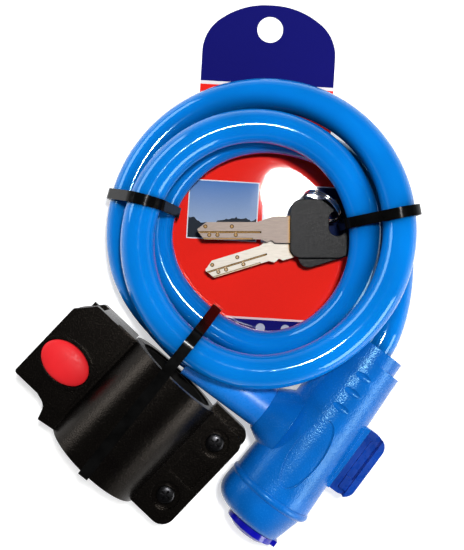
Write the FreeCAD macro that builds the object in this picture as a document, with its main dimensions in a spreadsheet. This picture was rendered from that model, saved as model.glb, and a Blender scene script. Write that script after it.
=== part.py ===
"""Coiled cable lock with its frame bracket, keys, ties and display card, in millimetres.

The part lies flat. The origin is on the back of the card, under the middle of the coil, with +Z up
and +Y towards the card's hang hole.
"""
import FreeCAD, Part
import math
import os
import re

V = FreeCAD.Vector
doc = FreeCAD.newDocument("CableLock")

# Driving dimensions, in millimetres and degrees

SIZES = {
    # cable and coil
    "cable_dia": 15.0,
    "coil_radius": 55.0,
    "straight_lead": 2.0,
    "fit_gap": 0.05,
    "rest_gap": 0.3,
    # lock head, measured along the barrel from the double bead
    "head_x": 4.54,
    "head_y": -115.9,
    "head_angle": 53.4,
    "barrel_length": 73.4,
    "barrel_key_radius": 19.6,
    "barrel_top_radius": 16.5,
    "top_ring_length": 6.5,
    "top_ring_radius": 13.6,
    "bead_radius": 2.0,
    "bead_rise": 0.9,
    "collar_station": 27.6,
    "collar_reach": 24.9,
    "collar_rim_radius": 11.0,
    "collar_root_radius": 18.0,
    "collar_socket_depth": 2.0,
    "badge_station": 24.0,
    "badge_length": 35.0,
    "badge_width": 14.0,
    "badge_depth": 0.5,
    "groove_station": 49.0,
    "groove_pitch": 8.3,
    "groove_length": 10.0,
    "groove_width": 3.4,
    "groove_depth": 0.9,
    # key end
    "bezel_length": 17.2,
    "bezel_seat": 0.9,
    "bezel_face_radius": 12.4,
    "key_axis_drop": 2.2,
    "dust_cap_radius": 12.0,
    "dust_cap_thickness": 4.6,
    "dust_cap_pin_radius": 1.2,
    "dust_cap_pin_offset": 10.2,
    # cylinder and bolt
    "body_radius": 12.9,
    "body_length": 60.0,
    "nose_radius": 8.6,
    "plug_radius": 5.5,
    "plug_length": 30.8,
    "keyway_width": 8.5,
    "keyway_height": 2.6,
    "pin_radius": 1.0,
    "pin_pitch": 3.0,
    "pin_first": -13.5,
    "crank_radius": 2.0,
    "crank_pin_radius": 1.0,
    "bolt_width": 2.6,
    "bolt_length": 8.0,
    # cable ends
    "ferrule_radius": 6.0,
    "neck_radius": 4.0,
    "neck_width": 3.2,
    "ferrule_depth": 10.0,
    "sleeve_radius": 10.1,
    "sleeve_length": 42.0,
    "cable_socket_depth": 15.0,
    "fixed_ferrule_length": 16.0,
    # mounting foot on the barrel
    "foot_start": 16.6,
    "foot_length": 31.9,
    "foot_height": 16.0,
    "foot_reach": 28.9,
    "foot_seat": 19.0,
    "foot_plate": 3.0,
    "foot_web": 6.0,
    "foot_corner": 5.5,
    "catch_rise": 2.6,
    "catch_notch_width": 8.8,
    "catch_notch_depth": 1.5,
    # frame bracket, whose bore's near end is placed from the lock head
    "bracket_along": 16.4,
    "bracket_across": 65.8,
    "bracket_turn": 173.0,
    "clamp_length": 54.4,
    "clamp_outer_radius": 24.2,
    "clamp_inner_radius": 19.9,
    "bore_radius": 17.0,
    "parting_gap": 0.8,
    "flange_reach": 42.9,
    "flange_thickness": 6.1,
    "flange_corner": 6.5,
    "back_flange_lead": 3.2,
    "screw_first": 9.7,
    "screw_pitch": 31.8,
    "screw_side": 33.0,
    "screw_head_dia": 8.2,
    "screw_dia": 4.0,
    "screw_recess_dia": 13.0,
    "screw_recess_depth": 2.6,
    "screw_head_height": 1.3,
    "flange_pocket_length": 13.4,
    "flange_pocket_width": 12.6,
    "flange_pocket_depth": 1.2,
    "nut_width": 7.0,
    "nut_thickness": 3.1,
    "block_inner": 25.0,
    "block_outer": 53.4,
    "block_near": 1.1,
    "block_far": 47.4,
    "block_top": 8.2,
    "block_bottom": 18.0,
    "block_wall": 2.6,
    "cover_thickness": 2.0,
    "button_station": 29.1,
    "button_side": 39.5,
    "button_length": 24.0,
    "button_width": 17.0,
    "button_rise": 2.6,
    "button_travel": 2.4,
    "button_skirt": 0.5,
    "latch_width": 8.0,
    "latch_thickness": 2.4,
    "latch_toe": 2.0,
    "latch_bite": 1.2,
    "spring_radius": 2.5,
    "foot_clearance": 0.4,
    "liner_groove": 1.4,
    # keys, measured from the hole in the head
    "hole_x": 35.2,
    "hole_y": 5.3,
    "key_head_thickness": 3.6,
    "key_head_low": 6.4,
    "key_head_length": 28.1,
    "key_head_width": 27.1,
    "key_head_corner": 6.0,
    "key_hole_inset": 6.3,
    "key_hole_rise": 11.1,
    "key_hole_width": 8.0,
    "key_hole_length": 11.8,
    "blade_thickness": 2.3,
    "blade_width": 8.0,
    "blade_reach": 65.2,
    "blade_offset": 3.4,
    "blade_embed": 9.0,
    "milling_depth": 0.45,
    "dimple_radius": 0.95,
    "shoulder_width": 13.0,
    "key_2_turn": 17.0,
    "ring_radius": 9.6,
    "ring_wire": 1.35,
    "ring_tilt": 25.0,
    "ring_heading": -36.2,
    "ring_back": 7.3,
    "ring_side": 7.9,
    "ring_lift": 0.94,
    # ties and card
    "strap_width": 4.8,
    "strap_lean": 4.6,
    "strap_thickness": 1.0,
    "strap_gap": 0.15,
    "tie_clearance": 0.8,
    "key_tie_slack": 0.5,
    "tie_head_width": 7.0,
    "tie_head_length": 8.0,
    "tie_head_height": 4.4,
    "key_tie_x": 37.4,
    "key_tie_y": 4.4,
    "key_tie_angle": 10.5,
    "left_tie_angle": 165.0,
    "card_thickness": 0.5,
    "card_header_width": 63.7,
    "card_body_width": 96.0,
    "card_hole_dia": 12.4,
}

sheet = doc.addObject("Spreadsheet::Sheet", "Sizes")
for row, (alias, value) in enumerate(SIZES.items(), start=1):
    sheet.set("A%d" % row, alias)
    sheet.set("B%d" % row, str(value))
    sheet.setAlias("B%d" % row, alias)
doc.recompute()


class SheetValues:
    """Reads a size from the sheet by its alias."""

    def __getattr__(self, alias):
        return float(sheet.get(alias))


size = SheetValues()


def from_sheet(text):
    """Turn an expression in plain aliases into one that reads them from the sheet."""
    return re.sub(r"[a-z_0-9]*[a-z][a-z_0-9]*", lambda word: "Sizes." + word.group()
                  if word.group() in SIZES else word.group(), text)


# Directions that a primitive's own Z axis can be turned to

UP = FreeCAD.Rotation()
ALONG_X = FreeCAD.Rotation(V(0, 0, 1), V(1, 0, 0))
ALONG_Y = FreeCAD.Rotation(V(0, 0, 1), V(0, 1, 0))


def primitive(kind, name, at, turn=UP, **sizes):
    """A Part primitive whose sizes and place are expressions of the sheet's aliases."""
    item = doc.addObject("Part::" + kind, name)
    item.Placement = FreeCAD.Placement(V(), turn)
    for prop, text in sizes.items():
        item.setExpression(prop, from_sheet(text))
    for axis, text in zip("xyz", at):
        item.setExpression("Placement.Base." + axis, from_sheet(text))
    return item


def cylinder(name, at, radius, height, turn=UP):
    return primitive("Cylinder", name, at, turn, Radius=radius, Height=height)


def cone(name, at, radius_1, radius_2, height, turn=UP):
    return primitive("Cone", name, at, turn, Radius1=radius_1, Radius2=radius_2, Height=height)


def torus(name, at, radius, wire, turn=UP):
    return primitive("Torus", name, at, turn, Radius1=radius, Radius2=wire)


def box(name, low, lengths):
    """A box from its low corner and its three lengths."""
    return primitive("Box", name, low, Length=lengths[0], Width=lengths[1], Height=lengths[2])


def span(name, x_range, y_range, z_range):
    """A box between two limits along each axis."""
    ranges = (x_range, y_range, z_range)
    low = [pair[0] for pair in ranges]
    lengths = ["(%s) - (%s)" % (pair[1], pair[0]) for pair in ranges]
    return box(name, low, lengths)


def fuse(name, items):
    joined = doc.addObject("Part::MultiFuse", name)
    joined.Shapes = items
    return joined


def cut(name, base, tools):
    result = doc.addObject("Part::Cut", name)
    result.Base = base
    result.Tool = tools[0] if len(tools) == 1 else fuse(name + "_tools", tools)
    return result


def common(name, items):
    result = doc.addObject("Part::MultiCommon", name)
    result.Shapes = items
    return result


def group(name, items):
    """Several like pieces in one node, each a solid of its own."""
    result = doc.addObject("Part::Compound", name)
    result.Links = items
    return result


def plain(name, shape):
    """A form that no primitive gives."""
    item = doc.addObject("Part::Feature", name)
    item.Shape = shape
    return item


nodes = []


def node(item, label, frame=FreeCAD.Placement()):
    """Name a finished piece and put it in its place."""
    item.Label = label
    item.Placement = frame.multiply(item.Placement)
    nodes.append(item)
    return item


# PartDesign bodies from sketched outlines

def rounded_outline(points):
    """Edges of a closed outline through (x, y, corner radius) points, with tangent corner arcs."""
    count = len(points)
    corners = [V(x, y, 0) for x, y, radius in points]
    trims = []
    for i, (x, y, radius) in enumerate(points):
        before = (corners[i - 1] - corners[i]).normalize()
        after = (corners[(i + 1) % count] - corners[i]).normalize()
        half = before.getAngle(after) / 2
        reach = radius / math.tan(half) if radius else 0.0
        bisector = before + after
        middle = corners[i]
        if radius:
            bisector.normalize()
            middle = corners[i] + bisector * (radius / math.sin(half) - radius)
        trims.append((corners[i] + before * reach, middle, corners[i] + after * reach))
    edges = []
    for i, (start, middle, end) in enumerate(trims):
        if points[i][2]:
            edges.append(Part.Arc(start, middle, end))
        edges.append(Part.LineSegment(end, trims[(i + 1) % count][0]))
    return edges


def plane_of(body, role):
    return [item for item in body.Origin.OriginFeatures if item.Role == role][0]


def sketch_on(body, name, role, curves):
    """A sketch of ready curves on one of the body's own planes."""
    sketch = body.newObject("Sketcher::SketchObject", name)
    sketch.AttachmentSupport = [(plane_of(body, role), "")]
    sketch.MapMode = "FlatFace"
    for curve in curves:
        sketch.addGeometry(curve, False)
    return sketch


def padded(name, curves, thickness, start="0"):
    """A body padded up from an outline in the XY plane."""
    body = doc.addObject("PartDesign::Body", name)
    sketch = sketch_on(body, name + "_outline", "XY_Plane", curves)
    sketch.setExpression("AttachmentOffset.Base.z", from_sheet(start))
    pad = body.newObject("PartDesign::Pad", name + "_pad")
    pad.Profile = sketch
    pad.setExpression("Length", from_sheet(thickness))
    body.Tip = pad
    return body


def pocketed(body, name, curves, depth, start="0"):
    """Cut an outline out of a body, upwards from a height."""
    before = body.Shape.Volume
    sketch = sketch_on(body, name + "_outline", "XY_Plane", curves)
    sketch.setExpression("AttachmentOffset.Base.z", from_sheet(start))
    pocket = body.newObject("PartDesign::Pocket", name)
    pocket.Profile = sketch
    pocket.setExpression("Length", from_sheet(depth))
    pocket.Reversed = True
    body.Tip = pocket
    doc.recompute()
    if body.Shape.Volume >= before:
        raise RuntimeError(name + " cuts nothing")
    return body


def circle(x, y, radius):
    return Part.Circle(V(x, y, 0), V(0, 0, 1), radius)


# Frames of the lock head and of the bracket

head_height = size.barrel_key_radius + size.bead_rise
LOCK = FreeCAD.Placement(V(size.head_x, size.head_y, head_height),
                         FreeCAD.Rotation(V(0, 0, 1), size.head_angle))
BRACKET = LOCK.multiply(FreeCAD.Placement(
    V(size.bracket_along, size.bracket_across, size.clamp_outer_radius - head_height),
    FreeCAD.Rotation(V(0, 0, 1), size.bracket_turn)))

# The cable: a coil whose loops lie over one another, stated at turns about its middle

cable_radius = size.cable_dia / 2
coil_low = size.card_thickness + size.strap_gap + size.strap_thickness + size.tie_clearance + cable_radius
STATIONS = [
    # degrees clockwise, outward of the coil's radius and up from the card, both in cable diameters
    (-180, 0.60, 0.40),
    (-120, 0.63, 0.17),
    (-50, 0.57, 0.82),
    (0, 0.36, 1.48),
    (50, 0.23, 2.00),
    (95, 0.38, 2.10),
    (145, 0.17, 1.86),
    (180, 0.00, 1.61),
    (240, -0.35, 1.26),
    (300, -0.55, 1.09),
    (340, -0.60, 0.93),
    (385, -0.43, 0.60),
    (450, -0.18, 0.11),
    (481, -0.44, 0.00),
    (540, -0.40, 0.00),
    (610, -0.63, 0.00),
    (662, -0.47, 0.01),
    (710, 0.37, 0.08),
    (740, 0.69, 0.39),
]


def arc_between(start, apex, end):
    """The arc that leaves start and reaches end along the two tangents that meet at apex."""
    middle = (start + end) * 0.5
    height = (apex - middle).Length
    half_chord = (start - middle).Length
    side = (apex - start).Length
    top = apex + (middle - apex).normalize() * (side * (side - half_chord) / height)
    return Part.Arc(start, top, end), side * half_chord / height


def biarc(start, leaving, end, arriving):
    """Two tangent arcs from one point and direction to another."""
    chord = end - start
    closing = 2 * (1 - leaving.dot(arriving))
    along = chord.dot(leaving + arriving)
    side = (math.sqrt(along * along + closing * chord.dot(chord)) - along) / closing
    first_apex = start + leaving * side
    second_apex = end - arriving * side
    joint = (first_apex + second_apex) * 0.5
    return [arc_between(start, first_apex, joint), arc_between(joint, second_apex, end)]


def turned(angle, radius, height):
    """A point by its clockwise angle about the coil's middle."""
    return V(radius * math.cos(angle), -radius * math.sin(angle), height)


def clockwise_angle(point):
    return -math.atan2(point.y, point.x)


def heading(before, here, after):
    """Direction of travel at one station, with the slopes of radius and height through its neighbours."""
    span_before = here[0] - before[0]
    span_after = after[0] - here[0]
    slopes = []
    for axis in (1, 2):
        slope_before = (here[axis] - before[axis]) / span_before
        slope_after = (after[axis] - here[axis]) / span_after
        slopes.append((slope_before * span_after + slope_after * span_before) / (span_before + span_after))
    outward = turned(here[0], 1.0, 0.0)
    clockwise = V(outward.y, -outward.x, 0)
    return (outward * slopes[0] + clockwise * here[1] + V(0, 0, slopes[1])).normalize()


sleeve_end = size.collar_reach - size.collar_socket_depth + size.sleeve_length
head_top = size.barrel_length + size.top_ring_length
plug_start = LOCK.multVec(V(size.collar_station, sleeve_end - size.cable_socket_depth, 0))
plug_leaves = LOCK.multVec(V(size.collar_station, sleeve_end, 0))
lead_in = LOCK.multVec(V(head_top + size.straight_lead, 0, 0))
fixed_end = LOCK.multVec(V(size.body_length, 0, 0))
plug_direction = LOCK.Rotation.multVec(V(0, 1, 0))
head_direction = LOCK.Rotation.multVec(V(-1, 0, 0))


def coil_path():
    """Edges and arc radii of the cable's middle line, from the sleeve to the top of the head."""
    rows = [(math.radians(angle), size.coil_radius + out * size.cable_dia, coil_low + up * size.cable_dia)
            for angle, out, up in STATIONS]
    first_angle = clockwise_angle(plug_leaves)
    while first_angle > rows[0][0]:
        first_angle -= 2 * math.pi
    last_angle = clockwise_angle(lead_in)
    while last_angle < rows[-1][0]:
        last_angle += 2 * math.pi
    rows.insert(0, (first_angle, math.hypot(plug_leaves.x, plug_leaves.y), plug_leaves.z))
    rows.append((last_angle, math.hypot(lead_in.x, lead_in.y), lead_in.z))
    points = [turned(*row) for row in rows]
    directions = [plug_direction]
    directions += [heading(*rows[i - 1:i + 2]) for i in range(1, len(rows) - 1)]
    directions.append(head_direction)
    curves = [Part.LineSegment(plug_start, plug_leaves)]
    radii = []
    for i in range(len(points) - 1):
        for arc, radius in biarc(points[i], directions[i], points[i + 1], directions[i + 1]):
            curves.append(arc)
            radii.append(radius)
    curves.append(Part.LineSegment(lead_in, fixed_end))
    return [curve.toShape() for curve in curves], radii


path_edges, path_radii = coil_path()
cable_path = Part.Wire(path_edges)


def least_gap_to_itself():
    """Least gap between stretches of the cable that lie more than a sixth of a turn apart."""
    points = cable_path.discretize(Number=int(cable_path.Length / 3))
    step = cable_path.Length / (len(points) - 1)
    apart = int(size.coil_radius * math.pi / 3 / step)
    least = min((points[i] - points[j]).Length for i in range(len(points))
                for j in range(i + apart, len(points)))
    return least - size.cable_dia


def make_cable():
    start = Part.Circle(plug_start, plug_direction, cable_radius)
    profile = Part.Wire([start.toShape()])
    return cable_path.makePipeShell([profile], True, False)


node(plain("Cable", make_cable()), "cable_coil")
print("cable length %.0f mm, arc radii %.1f to %.1f mm" % (
    cable_path.Length, min(path_radii), max(path_radii)))
print("least gap of the coil to itself %.2f mm" % least_gap_to_itself())
expected = cable_path.Length * math.pi * cable_radius ** 2
print("cable volume over section times length %.4f" % (nodes[-1].Shape.Volume / expected))

# Lock head: the moulded casing

barrel = cone("Barrel", ("bezel_seat", "0", "0"), "barrel_key_radius", "barrel_top_radius",
              "barrel_length - bezel_seat", ALONG_X)
top_ring = cone("TopRing", ("barrel_length - 1", "0", "0"), "top_ring_radius + 0.2", "top_ring_radius",
                "top_ring_length + 1", ALONG_X)
collar = cone("Collar", ("collar_station", "body_radius", "0"), "collar_root_radius", "collar_rim_radius",
              "collar_reach - body_radius", ALONG_Y)
foot_boss = span("FootBoss", ("foot_start", "foot_start + foot_length"), ("-foot_seat", "-body_radius - 1"),
                 ("-foot_web", "foot_web"))
casing_outside = fuse("CasingOutside", [barrel, top_ring, collar, foot_boss])

body_room = cylinder("BodyRoom", ("-1", "0", "0"), "body_radius + fit_gap", "body_length + 1", ALONG_X)
cable_room = cylinder("CableRoom", ("body_length - 1", "0", "0"), "cable_dia / 2 + fit_gap",
                      "barrel_length + top_ring_length + 2 - body_length", ALONG_X)
ferrule_way = cylinder("FerruleWay", ("collar_station", "0", "0"), "ferrule_radius + 2 * fit_gap",
                       "collar_reach + 1", ALONG_Y)
sleeve_seat = cylinder("SleeveSeat", ("collar_station", "collar_reach - collar_socket_depth", "0"),
                       "sleeve_radius + fit_gap", "collar_socket_depth + 1", ALONG_Y)

badge_outline = primitive("Ellipse", "BadgeOutline", ("badge_station", "0", "body_radius"),
                          MajorRadius="badge_length / 2", MinorRadius="badge_width / 2")
badge_column = doc.addObject("Part::Extrusion", "BadgeColumn")
badge_column.Base = badge_outline
badge_column.Dir = V(0, 0, 1)
badge_column.DirMode = "Custom"
badge_column.setExpression("LengthFwd", from_sheet("barrel_key_radius"))
badge_column.Solid = True
badge_floor = cone("BadgeFloor", ("0", "0", "0"), "barrel_key_radius - badge_depth",
                   "barrel_top_radius - badge_depth", "barrel_length", ALONG_X)
badge_recess = cut("BadgeRecess", badge_column, [badge_floor])


def grip_groove(number):
    """A shallow scoop across the crown of the barrel."""
    station = "groove_station + %d * groove_pitch" % number
    surface = "barrel_key_radius - (%s) * (barrel_key_radius - barrel_top_radius) / barrel_length" % station
    return primitive("Ellipsoid", "Groove%d" % number, (station, "0", "%s + 0.3" % surface),
                     Radius1="groove_depth + 0.3", Radius2="groove_width / 2", Radius3="groove_length / 2")


grooves = [grip_groove(number) for number in range(3)]
casing_rooms = [body_room, cable_room, ferrule_way, sleeve_seat, badge_recess]
casing = cut("Casing", casing_outside, casing_rooms + grooves)
node(casing, "lock_casing", LOCK)

# Key end: bezel, dust cap and its pin

BEZEL_RINGS = [
    # share of the bezel's length, middle towards the collar, radius
    (0.0, 0.1, 19.5),
    (0.3, 1.3, 19.2),
    (0.7, 2.0, 18.0),
    (1.0, -2.2, 12.4),
]


def bezel_ring(number):
    share, middle, radius = BEZEL_RINGS[number]
    station = "bezel_seat - (bezel_length + bezel_seat) * %g" % share
    ring = primitive("Circle", "BezelRing%d" % number, (station, "0", "0"), ALONG_X)
    ring.setExpression("Radius", from_sheet("bezel_face_radius * %g / 12.4" % radius))
    ring.setExpression("Placement.Base.y", from_sheet("key_axis_drop * %g / 2.2" % middle))
    return ring


bezel_form = doc.addObject("Part::Loft", "BezelForm")
bezel_form.Sections = [bezel_ring(number) for number in range(len(BEZEL_RINGS))]
bezel_form.Solid = True
bezel_bead = torus("BezelBead", ("bezel_seat - bead_radius - fit_gap", "0", "0"),
                   "barrel_key_radius + bead_rise - bead_radius", "bead_radius", ALONG_X)
nose_room = cylinder("NoseRoom", ("-bezel_length - 1", "-key_axis_drop", "0"), "nose_radius + fit_gap",
                     "bezel_length + 2", ALONG_X)
housing_seat = cylinder("HousingSeat", ("0", "0", "0"), "body_radius + fit_gap", "bezel_seat + 1", ALONG_X)
cap_pin_y = "dust_cap_pin_offset - key_axis_drop"
cap_pin_room = cylinder("CapPinRoom", ("-bezel_length - 1", cap_pin_y, "0"), "dust_cap_pin_radius", "8",
                        ALONG_X)
bezel = cut("Bezel", fuse("BezelOutside", [bezel_form, bezel_bead]), [nose_room, housing_seat, cap_pin_room])
node(bezel, "key_end_bezel", LOCK)

cap_pin_out = "bezel_length + rest_gap + dust_cap_thickness * 0.55"
cap_pin = cylinder("CapPin", ("-(%s)" % cap_pin_out, cap_pin_y, "0"), "dust_cap_pin_radius",
                   "%s + 7 - bezel_length" % cap_pin_out, ALONG_X)
node(group("CapPinPiece", [cap_pin]), "dust_cap_pin", LOCK)

cap_inner = "-bezel_length - rest_gap"
cap_disc = cylinder("CapDisc", ("%s - dust_cap_thickness * 0.6" % cap_inner, "-key_axis_drop", "0"),
                    "dust_cap_radius", "dust_cap_thickness * 0.6", ALONG_X)
cap_crown = cone("CapCrown", ("%s - dust_cap_thickness" % cap_inner, "-key_axis_drop", "0"),
                 "dust_cap_radius * 0.7", "dust_cap_radius * 0.94", "dust_cap_thickness * 0.45", ALONG_X)
cap_tab = span("CapTab", ("%s - dust_cap_thickness * 0.6" % cap_inner, cap_inner),
               ("-key_axis_drop - dust_cap_radius - 1.6", "-key_axis_drop - dust_cap_radius + 2"),
               ("-3", "3"))
cap_pin_bore = cylinder("CapPinBore", ("-(%s) - 0.2" % cap_pin_out, cap_pin_y, "0"),
                        "dust_cap_pin_radius + fit_gap", "dust_cap_thickness", ALONG_X)
dust_cap = cut("DustCap", fuse("DustCapOutside", [cap_disc, cap_crown, cap_tab]), [cap_pin_bore])
node(dust_cap, "dust_cap", LOCK)

# Cylinder housing, plug, pins, crank and bolt

PIN_COUNT = 5
plug_front = "-bezel_length + rest_gap"
plug_back = "plug_length - bezel_length + rest_gap"
plug_y = "-key_axis_drop"


def pin_row(name, low_z, high_z, radius):
    """One round column per pin station along the plug."""
    return [cylinder("%s%d" % (name, number), ("pin_first + %d * pin_pitch" % number, plug_y, low_z), radius,
                     "(%s) - (%s)" % (high_z, low_z)) for number in range(PIN_COUNT)]


nose = cylinder("Nose", (plug_front, plug_y, "0"), "nose_radius", "bezel_length", ALONG_X)
housing = cylinder("Housing", ("0", "0", "0"), "body_radius", "body_length", ALONG_X)
plug_room = cylinder("PlugRoom", ("-bezel_length - 1", plug_y, "0"), "plug_radius + fit_gap",
                     "%s + bezel_length + 1" % plug_back, ALONG_X)
crank_room = cylinder("CrankRoom", ("%s - 0.01" % plug_back, plug_y, "0"), "plug_radius + 0.9", "6.4",
                      ALONG_X)
bolt_arm_top = "ferrule_radius + 2.6"
bolt_plate_x = "plug_length - bezel_length + 3.8"
bolt_travel = "crank_radius * sqrt(2)"
yoke_room = span("YokeRoom", (bolt_plate_x + " - 0.6", bolt_plate_x + " + 3"), ("-4.4", "3.6"),
                 ("-5", "body_radius - 1"))
bolt_room = span("BoltRoom", (bolt_plate_x + " - 0.6", "collar_station + bolt_length / 2 + 0.4"),
                 ("-4.4", "3.6"), ("neck_radius - 0.2", bolt_arm_top + " + " + bolt_travel + " + rest_gap"))
ferrule_room = cylinder("FerruleRoom", ("collar_station", "-ferrule_depth - 0.3", "0"),
                        "ferrule_radius + 2 * fit_gap", "ferrule_depth + body_radius + 1", ALONG_Y)
fixed_room = cylinder("FixedRoom", ("body_length - fixed_ferrule_length", "0", "0"), "cable_dia / 2 - 0.5",
                      "fixed_ferrule_length + 1", ALONG_X)
chambers = pin_row("Chamber", "plug_radius - 1", "nose_radius - 0.3", "pin_radius + 2 * fit_gap")
lock_body = cut("LockBody", fuse("HousingOutside", [nose, housing]),
                [plug_room, crank_room, yoke_room, bolt_room, ferrule_room, fixed_room] + chambers)
node(lock_body, "lock_body", LOCK)

plug_core = cylinder("PlugCore", (plug_front, plug_y, "0"), "plug_radius", "plug_length", ALONG_X)
plug_stub = cylinder("PlugStub", (plug_back + " - 1", plug_y, "0"), "plug_radius - 1.5", "4.2", ALONG_X)
keyway = span("Keyway", (plug_front + " - 1", plug_back + " - 3"),
              ("-key_axis_drop - keyway_width / 2", "-key_axis_drop + keyway_width / 2"),
              ("-keyway_height / 2", "keyway_height / 2"))
plug_holes = pin_row("PlugHole", "0", "plug_radius + 1", "pin_radius + fit_gap")
node(cut("Plug", fuse("PlugOutside", [plug_core, plug_stub]), [keyway] + plug_holes), "key_plug", LOCK)

pin_top = "plug_radius - 0.12"
driver_low = "plug_radius + 0.14"
driver_high = driver_low + " + 1.2"
node(group("PlugPins", pin_row("PlugPin", "keyway_height / 2 + 0.1", pin_top, "pin_radius")), "plug_pins",
     LOCK)
node(group("DriverPins", pin_row("DriverPin", driver_low, driver_high, "pin_radius")), "driver_pins", LOCK)


def pin_spring(number):
    station = "pin_first + %d * pin_pitch" % number
    coil = cylinder("SpringWall%d" % number, (station, plug_y, driver_high), "pin_radius",
                    "nose_radius - 0.3 - (%s)" % driver_high)
    hollow = cylinder("SpringHollow%d" % number, (station, plug_y, driver_high + " - 1"), "pin_radius * 0.55",
                      "nose_radius")
    return cut("PinSpring%d" % number, coil, [hollow])


node(group("PinSprings", [pin_spring(number) for number in range(PIN_COUNT)]), "pin_springs", LOCK)

clip_disc = cylinder("ClipDisc", (plug_back, plug_y, "0"), "plug_radius + 0.6", "0.8", ALONG_X)
clip_bore = cylinder("ClipBore", (plug_back + " - 1", plug_y, "0"), "plug_radius - 1.5", "4", ALONG_X)
clip_mouth = span("ClipMouth", (plug_back + " - 1", plug_back + " + 2"),
                  ("-key_axis_drop - 1.6", "-key_axis_drop + 1.6"), ("0", "plug_radius + 2"))
node(cut("PlugClip", clip_disc, [clip_bore, clip_mouth]), "plug_clip", LOCK)

crank_x = plug_back + " + 1"
crank_offset = "crank_radius / sqrt(2)"
crank_pin = cylinder("CrankPin",
                     (crank_x + " + 2.25", "-key_axis_drop + " + crank_offset, "-" + crank_offset),
                     "crank_pin_radius", "2.45", ALONG_X)
crank_plate = cylinder("CrankPlate", (crank_x, plug_y, "0"), "plug_radius - 0.2", "2.5", ALONG_X)
crank_hollow = cylinder("CrankHollow", (crank_x + " - 1", plug_y, "0"), "plug_radius - 1.5", "3.2", ALONG_X)
node(fuse("CamPlate", [cut("CrankCup", crank_plate, [crank_hollow]), crank_pin]), "cam_plate", LOCK)

yoke = span("Yoke", (bolt_plate_x + " + 0.2", bolt_plate_x + " + 2.2"), ("-3.8", "3.2"),
            ("-4.4", bolt_arm_top))
bolt_arm = span("BoltArm", (bolt_plate_x + " + 0.2", "collar_station + bolt_length / 2"), ("-3.8", "3.2"),
                ("ferrule_radius + 0.4", bolt_arm_top))
bolt_tip = span("BoltTip", ("collar_station - bolt_length / 2", "collar_station + bolt_length / 2"),
                ("-bolt_width / 2", "bolt_width / 2"), ("neck_radius + rest_gap", bolt_arm_top))
yoke_slot = span("YokeSlot", (bolt_plate_x + " - 1", bolt_plate_x + " + 4"),
                 ("-key_axis_drop + %s - crank_pin_radius - 0.3" % crank_offset,
                  "-key_axis_drop + crank_radius + crank_pin_radius + 0.3"),
                 ("-%s - crank_pin_radius - 0.25" % crank_offset,
                  "-%s + crank_pin_radius + 0.25" % crank_offset))
node(cut("LockingBolt", fuse("BoltForm", [yoke, bolt_arm, bolt_tip]), [yoke_slot]), "locking_bolt", LOCK)

# The cable's two ends

ferrule_end = "collar_reach - collar_socket_depth + sleeve_length - cable_socket_depth"
ferrule_rod = cylinder("FerruleRod", ("collar_station", "-ferrule_depth + 1.5", "0"), "ferrule_radius",
                       "%s + ferrule_depth - 1.5" % ferrule_end, ALONG_Y)
ferrule_nose = cone("FerruleNose", ("collar_station", "-ferrule_depth", "0"), "ferrule_radius - 1.5",
                    "ferrule_radius", "1.5", ALONG_Y)
neck_outside = cylinder("NeckOutside", ("collar_station", "-neck_width / 2", "0"), "ferrule_radius + 1",
                        "neck_width", ALONG_Y)
neck_inside = cylinder("NeckInside", ("collar_station", "-neck_width", "0"), "neck_radius", "2 * neck_width",
                       ALONG_Y)
neck = cut("Neck", neck_outside, [neck_inside])
ferrule = cut("Ferrule", fuse("FerruleForm", [ferrule_rod, ferrule_nose]), [neck])
node(ferrule, "locking_ferrule", LOCK)

sleeve_start = "collar_reach - collar_socket_depth"
sleeve_wall = cylinder("SleeveWall", ("collar_station", sleeve_start, "0"), "sleeve_radius", "sleeve_length",
                       ALONG_Y)
shank_bore = cylinder("ShankBore", ("collar_station", sleeve_start + " - 1", "0"), "ferrule_radius",
                      "sleeve_length - cable_socket_depth + 1", ALONG_Y)
cable_bore = cylinder("CableBore", ("collar_station", ferrule_end, "0"), "cable_dia / 2 + fit_gap",
                      "cable_socket_depth + 1", ALONG_Y)
node(cut("Sleeve", sleeve_wall, [shank_bore, cable_bore]), "ferrule_sleeve", LOCK)

crimp = cylinder("Crimp", ("body_length - fixed_ferrule_length", "0", "0"), "cable_dia / 2 - 0.5",
                 "fixed_ferrule_length", ALONG_X)
node(group("FixedFerrule", [crimp]), "fixed_ferrule", LOCK)

# Mounting foot: a T rail on the side of the barrel away from the collar

plate_in = "foot_reach - foot_plate"
foot_end = "foot_start + foot_length"


def foot_outline():
    """Plan of the foot: square at the barrel, rounded at its outer corners."""
    start = size.foot_start
    end = start + size.foot_length
    reach = -size.foot_reach
    corner = size.foot_corner
    seat = -size.foot_seat
    return rounded_outline([(start, seat, 0), (start, reach, corner), (end, reach, corner), (end, seat, 0)])


foot_block = padded("FootBlock", foot_outline(), "foot_height", "-foot_height / 2")
upper_slot = span("UpperSlot", ("foot_start - 1", foot_end + " + 1"), ("-(%s)" % plate_in, "-foot_seat + 1"),
                  ("foot_web / 2", "foot_height"))
lower_slot = span("LowerSlot", ("foot_start - 1", foot_end + " + 1"), ("-(%s)" % plate_in, "-foot_seat + 1"),
                  ("-foot_height", "-foot_web / 2"))
catch_block = span("CatchBlock", ("foot_start + 3", "foot_start + 9"),
                   ("-(%s) - 1" % plate_in, "-foot_seat - 3.4"), ("0", "foot_web / 2 + catch_rise"))
centre_rib = span("CentreRib", ("foot_start + 9", foot_end + " - 4"),
                  ("-foot_seat - 4.4", "-foot_seat - 3.4"), ("0", "foot_web / 2 + 1.2"))
catch_notch = span("CatchNotch", ("foot_start + 5.5", "foot_start + 5.5 + catch_notch_width"),
                   ("-foot_reach - 1", "-(%s) + 0.5" % plate_in),
                   ("-foot_height / 2 - 1", "-foot_height / 2 + catch_notch_depth"))
foot_tee = cut("FootTee", foot_block, [upper_slot, lower_slot, catch_notch])
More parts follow.
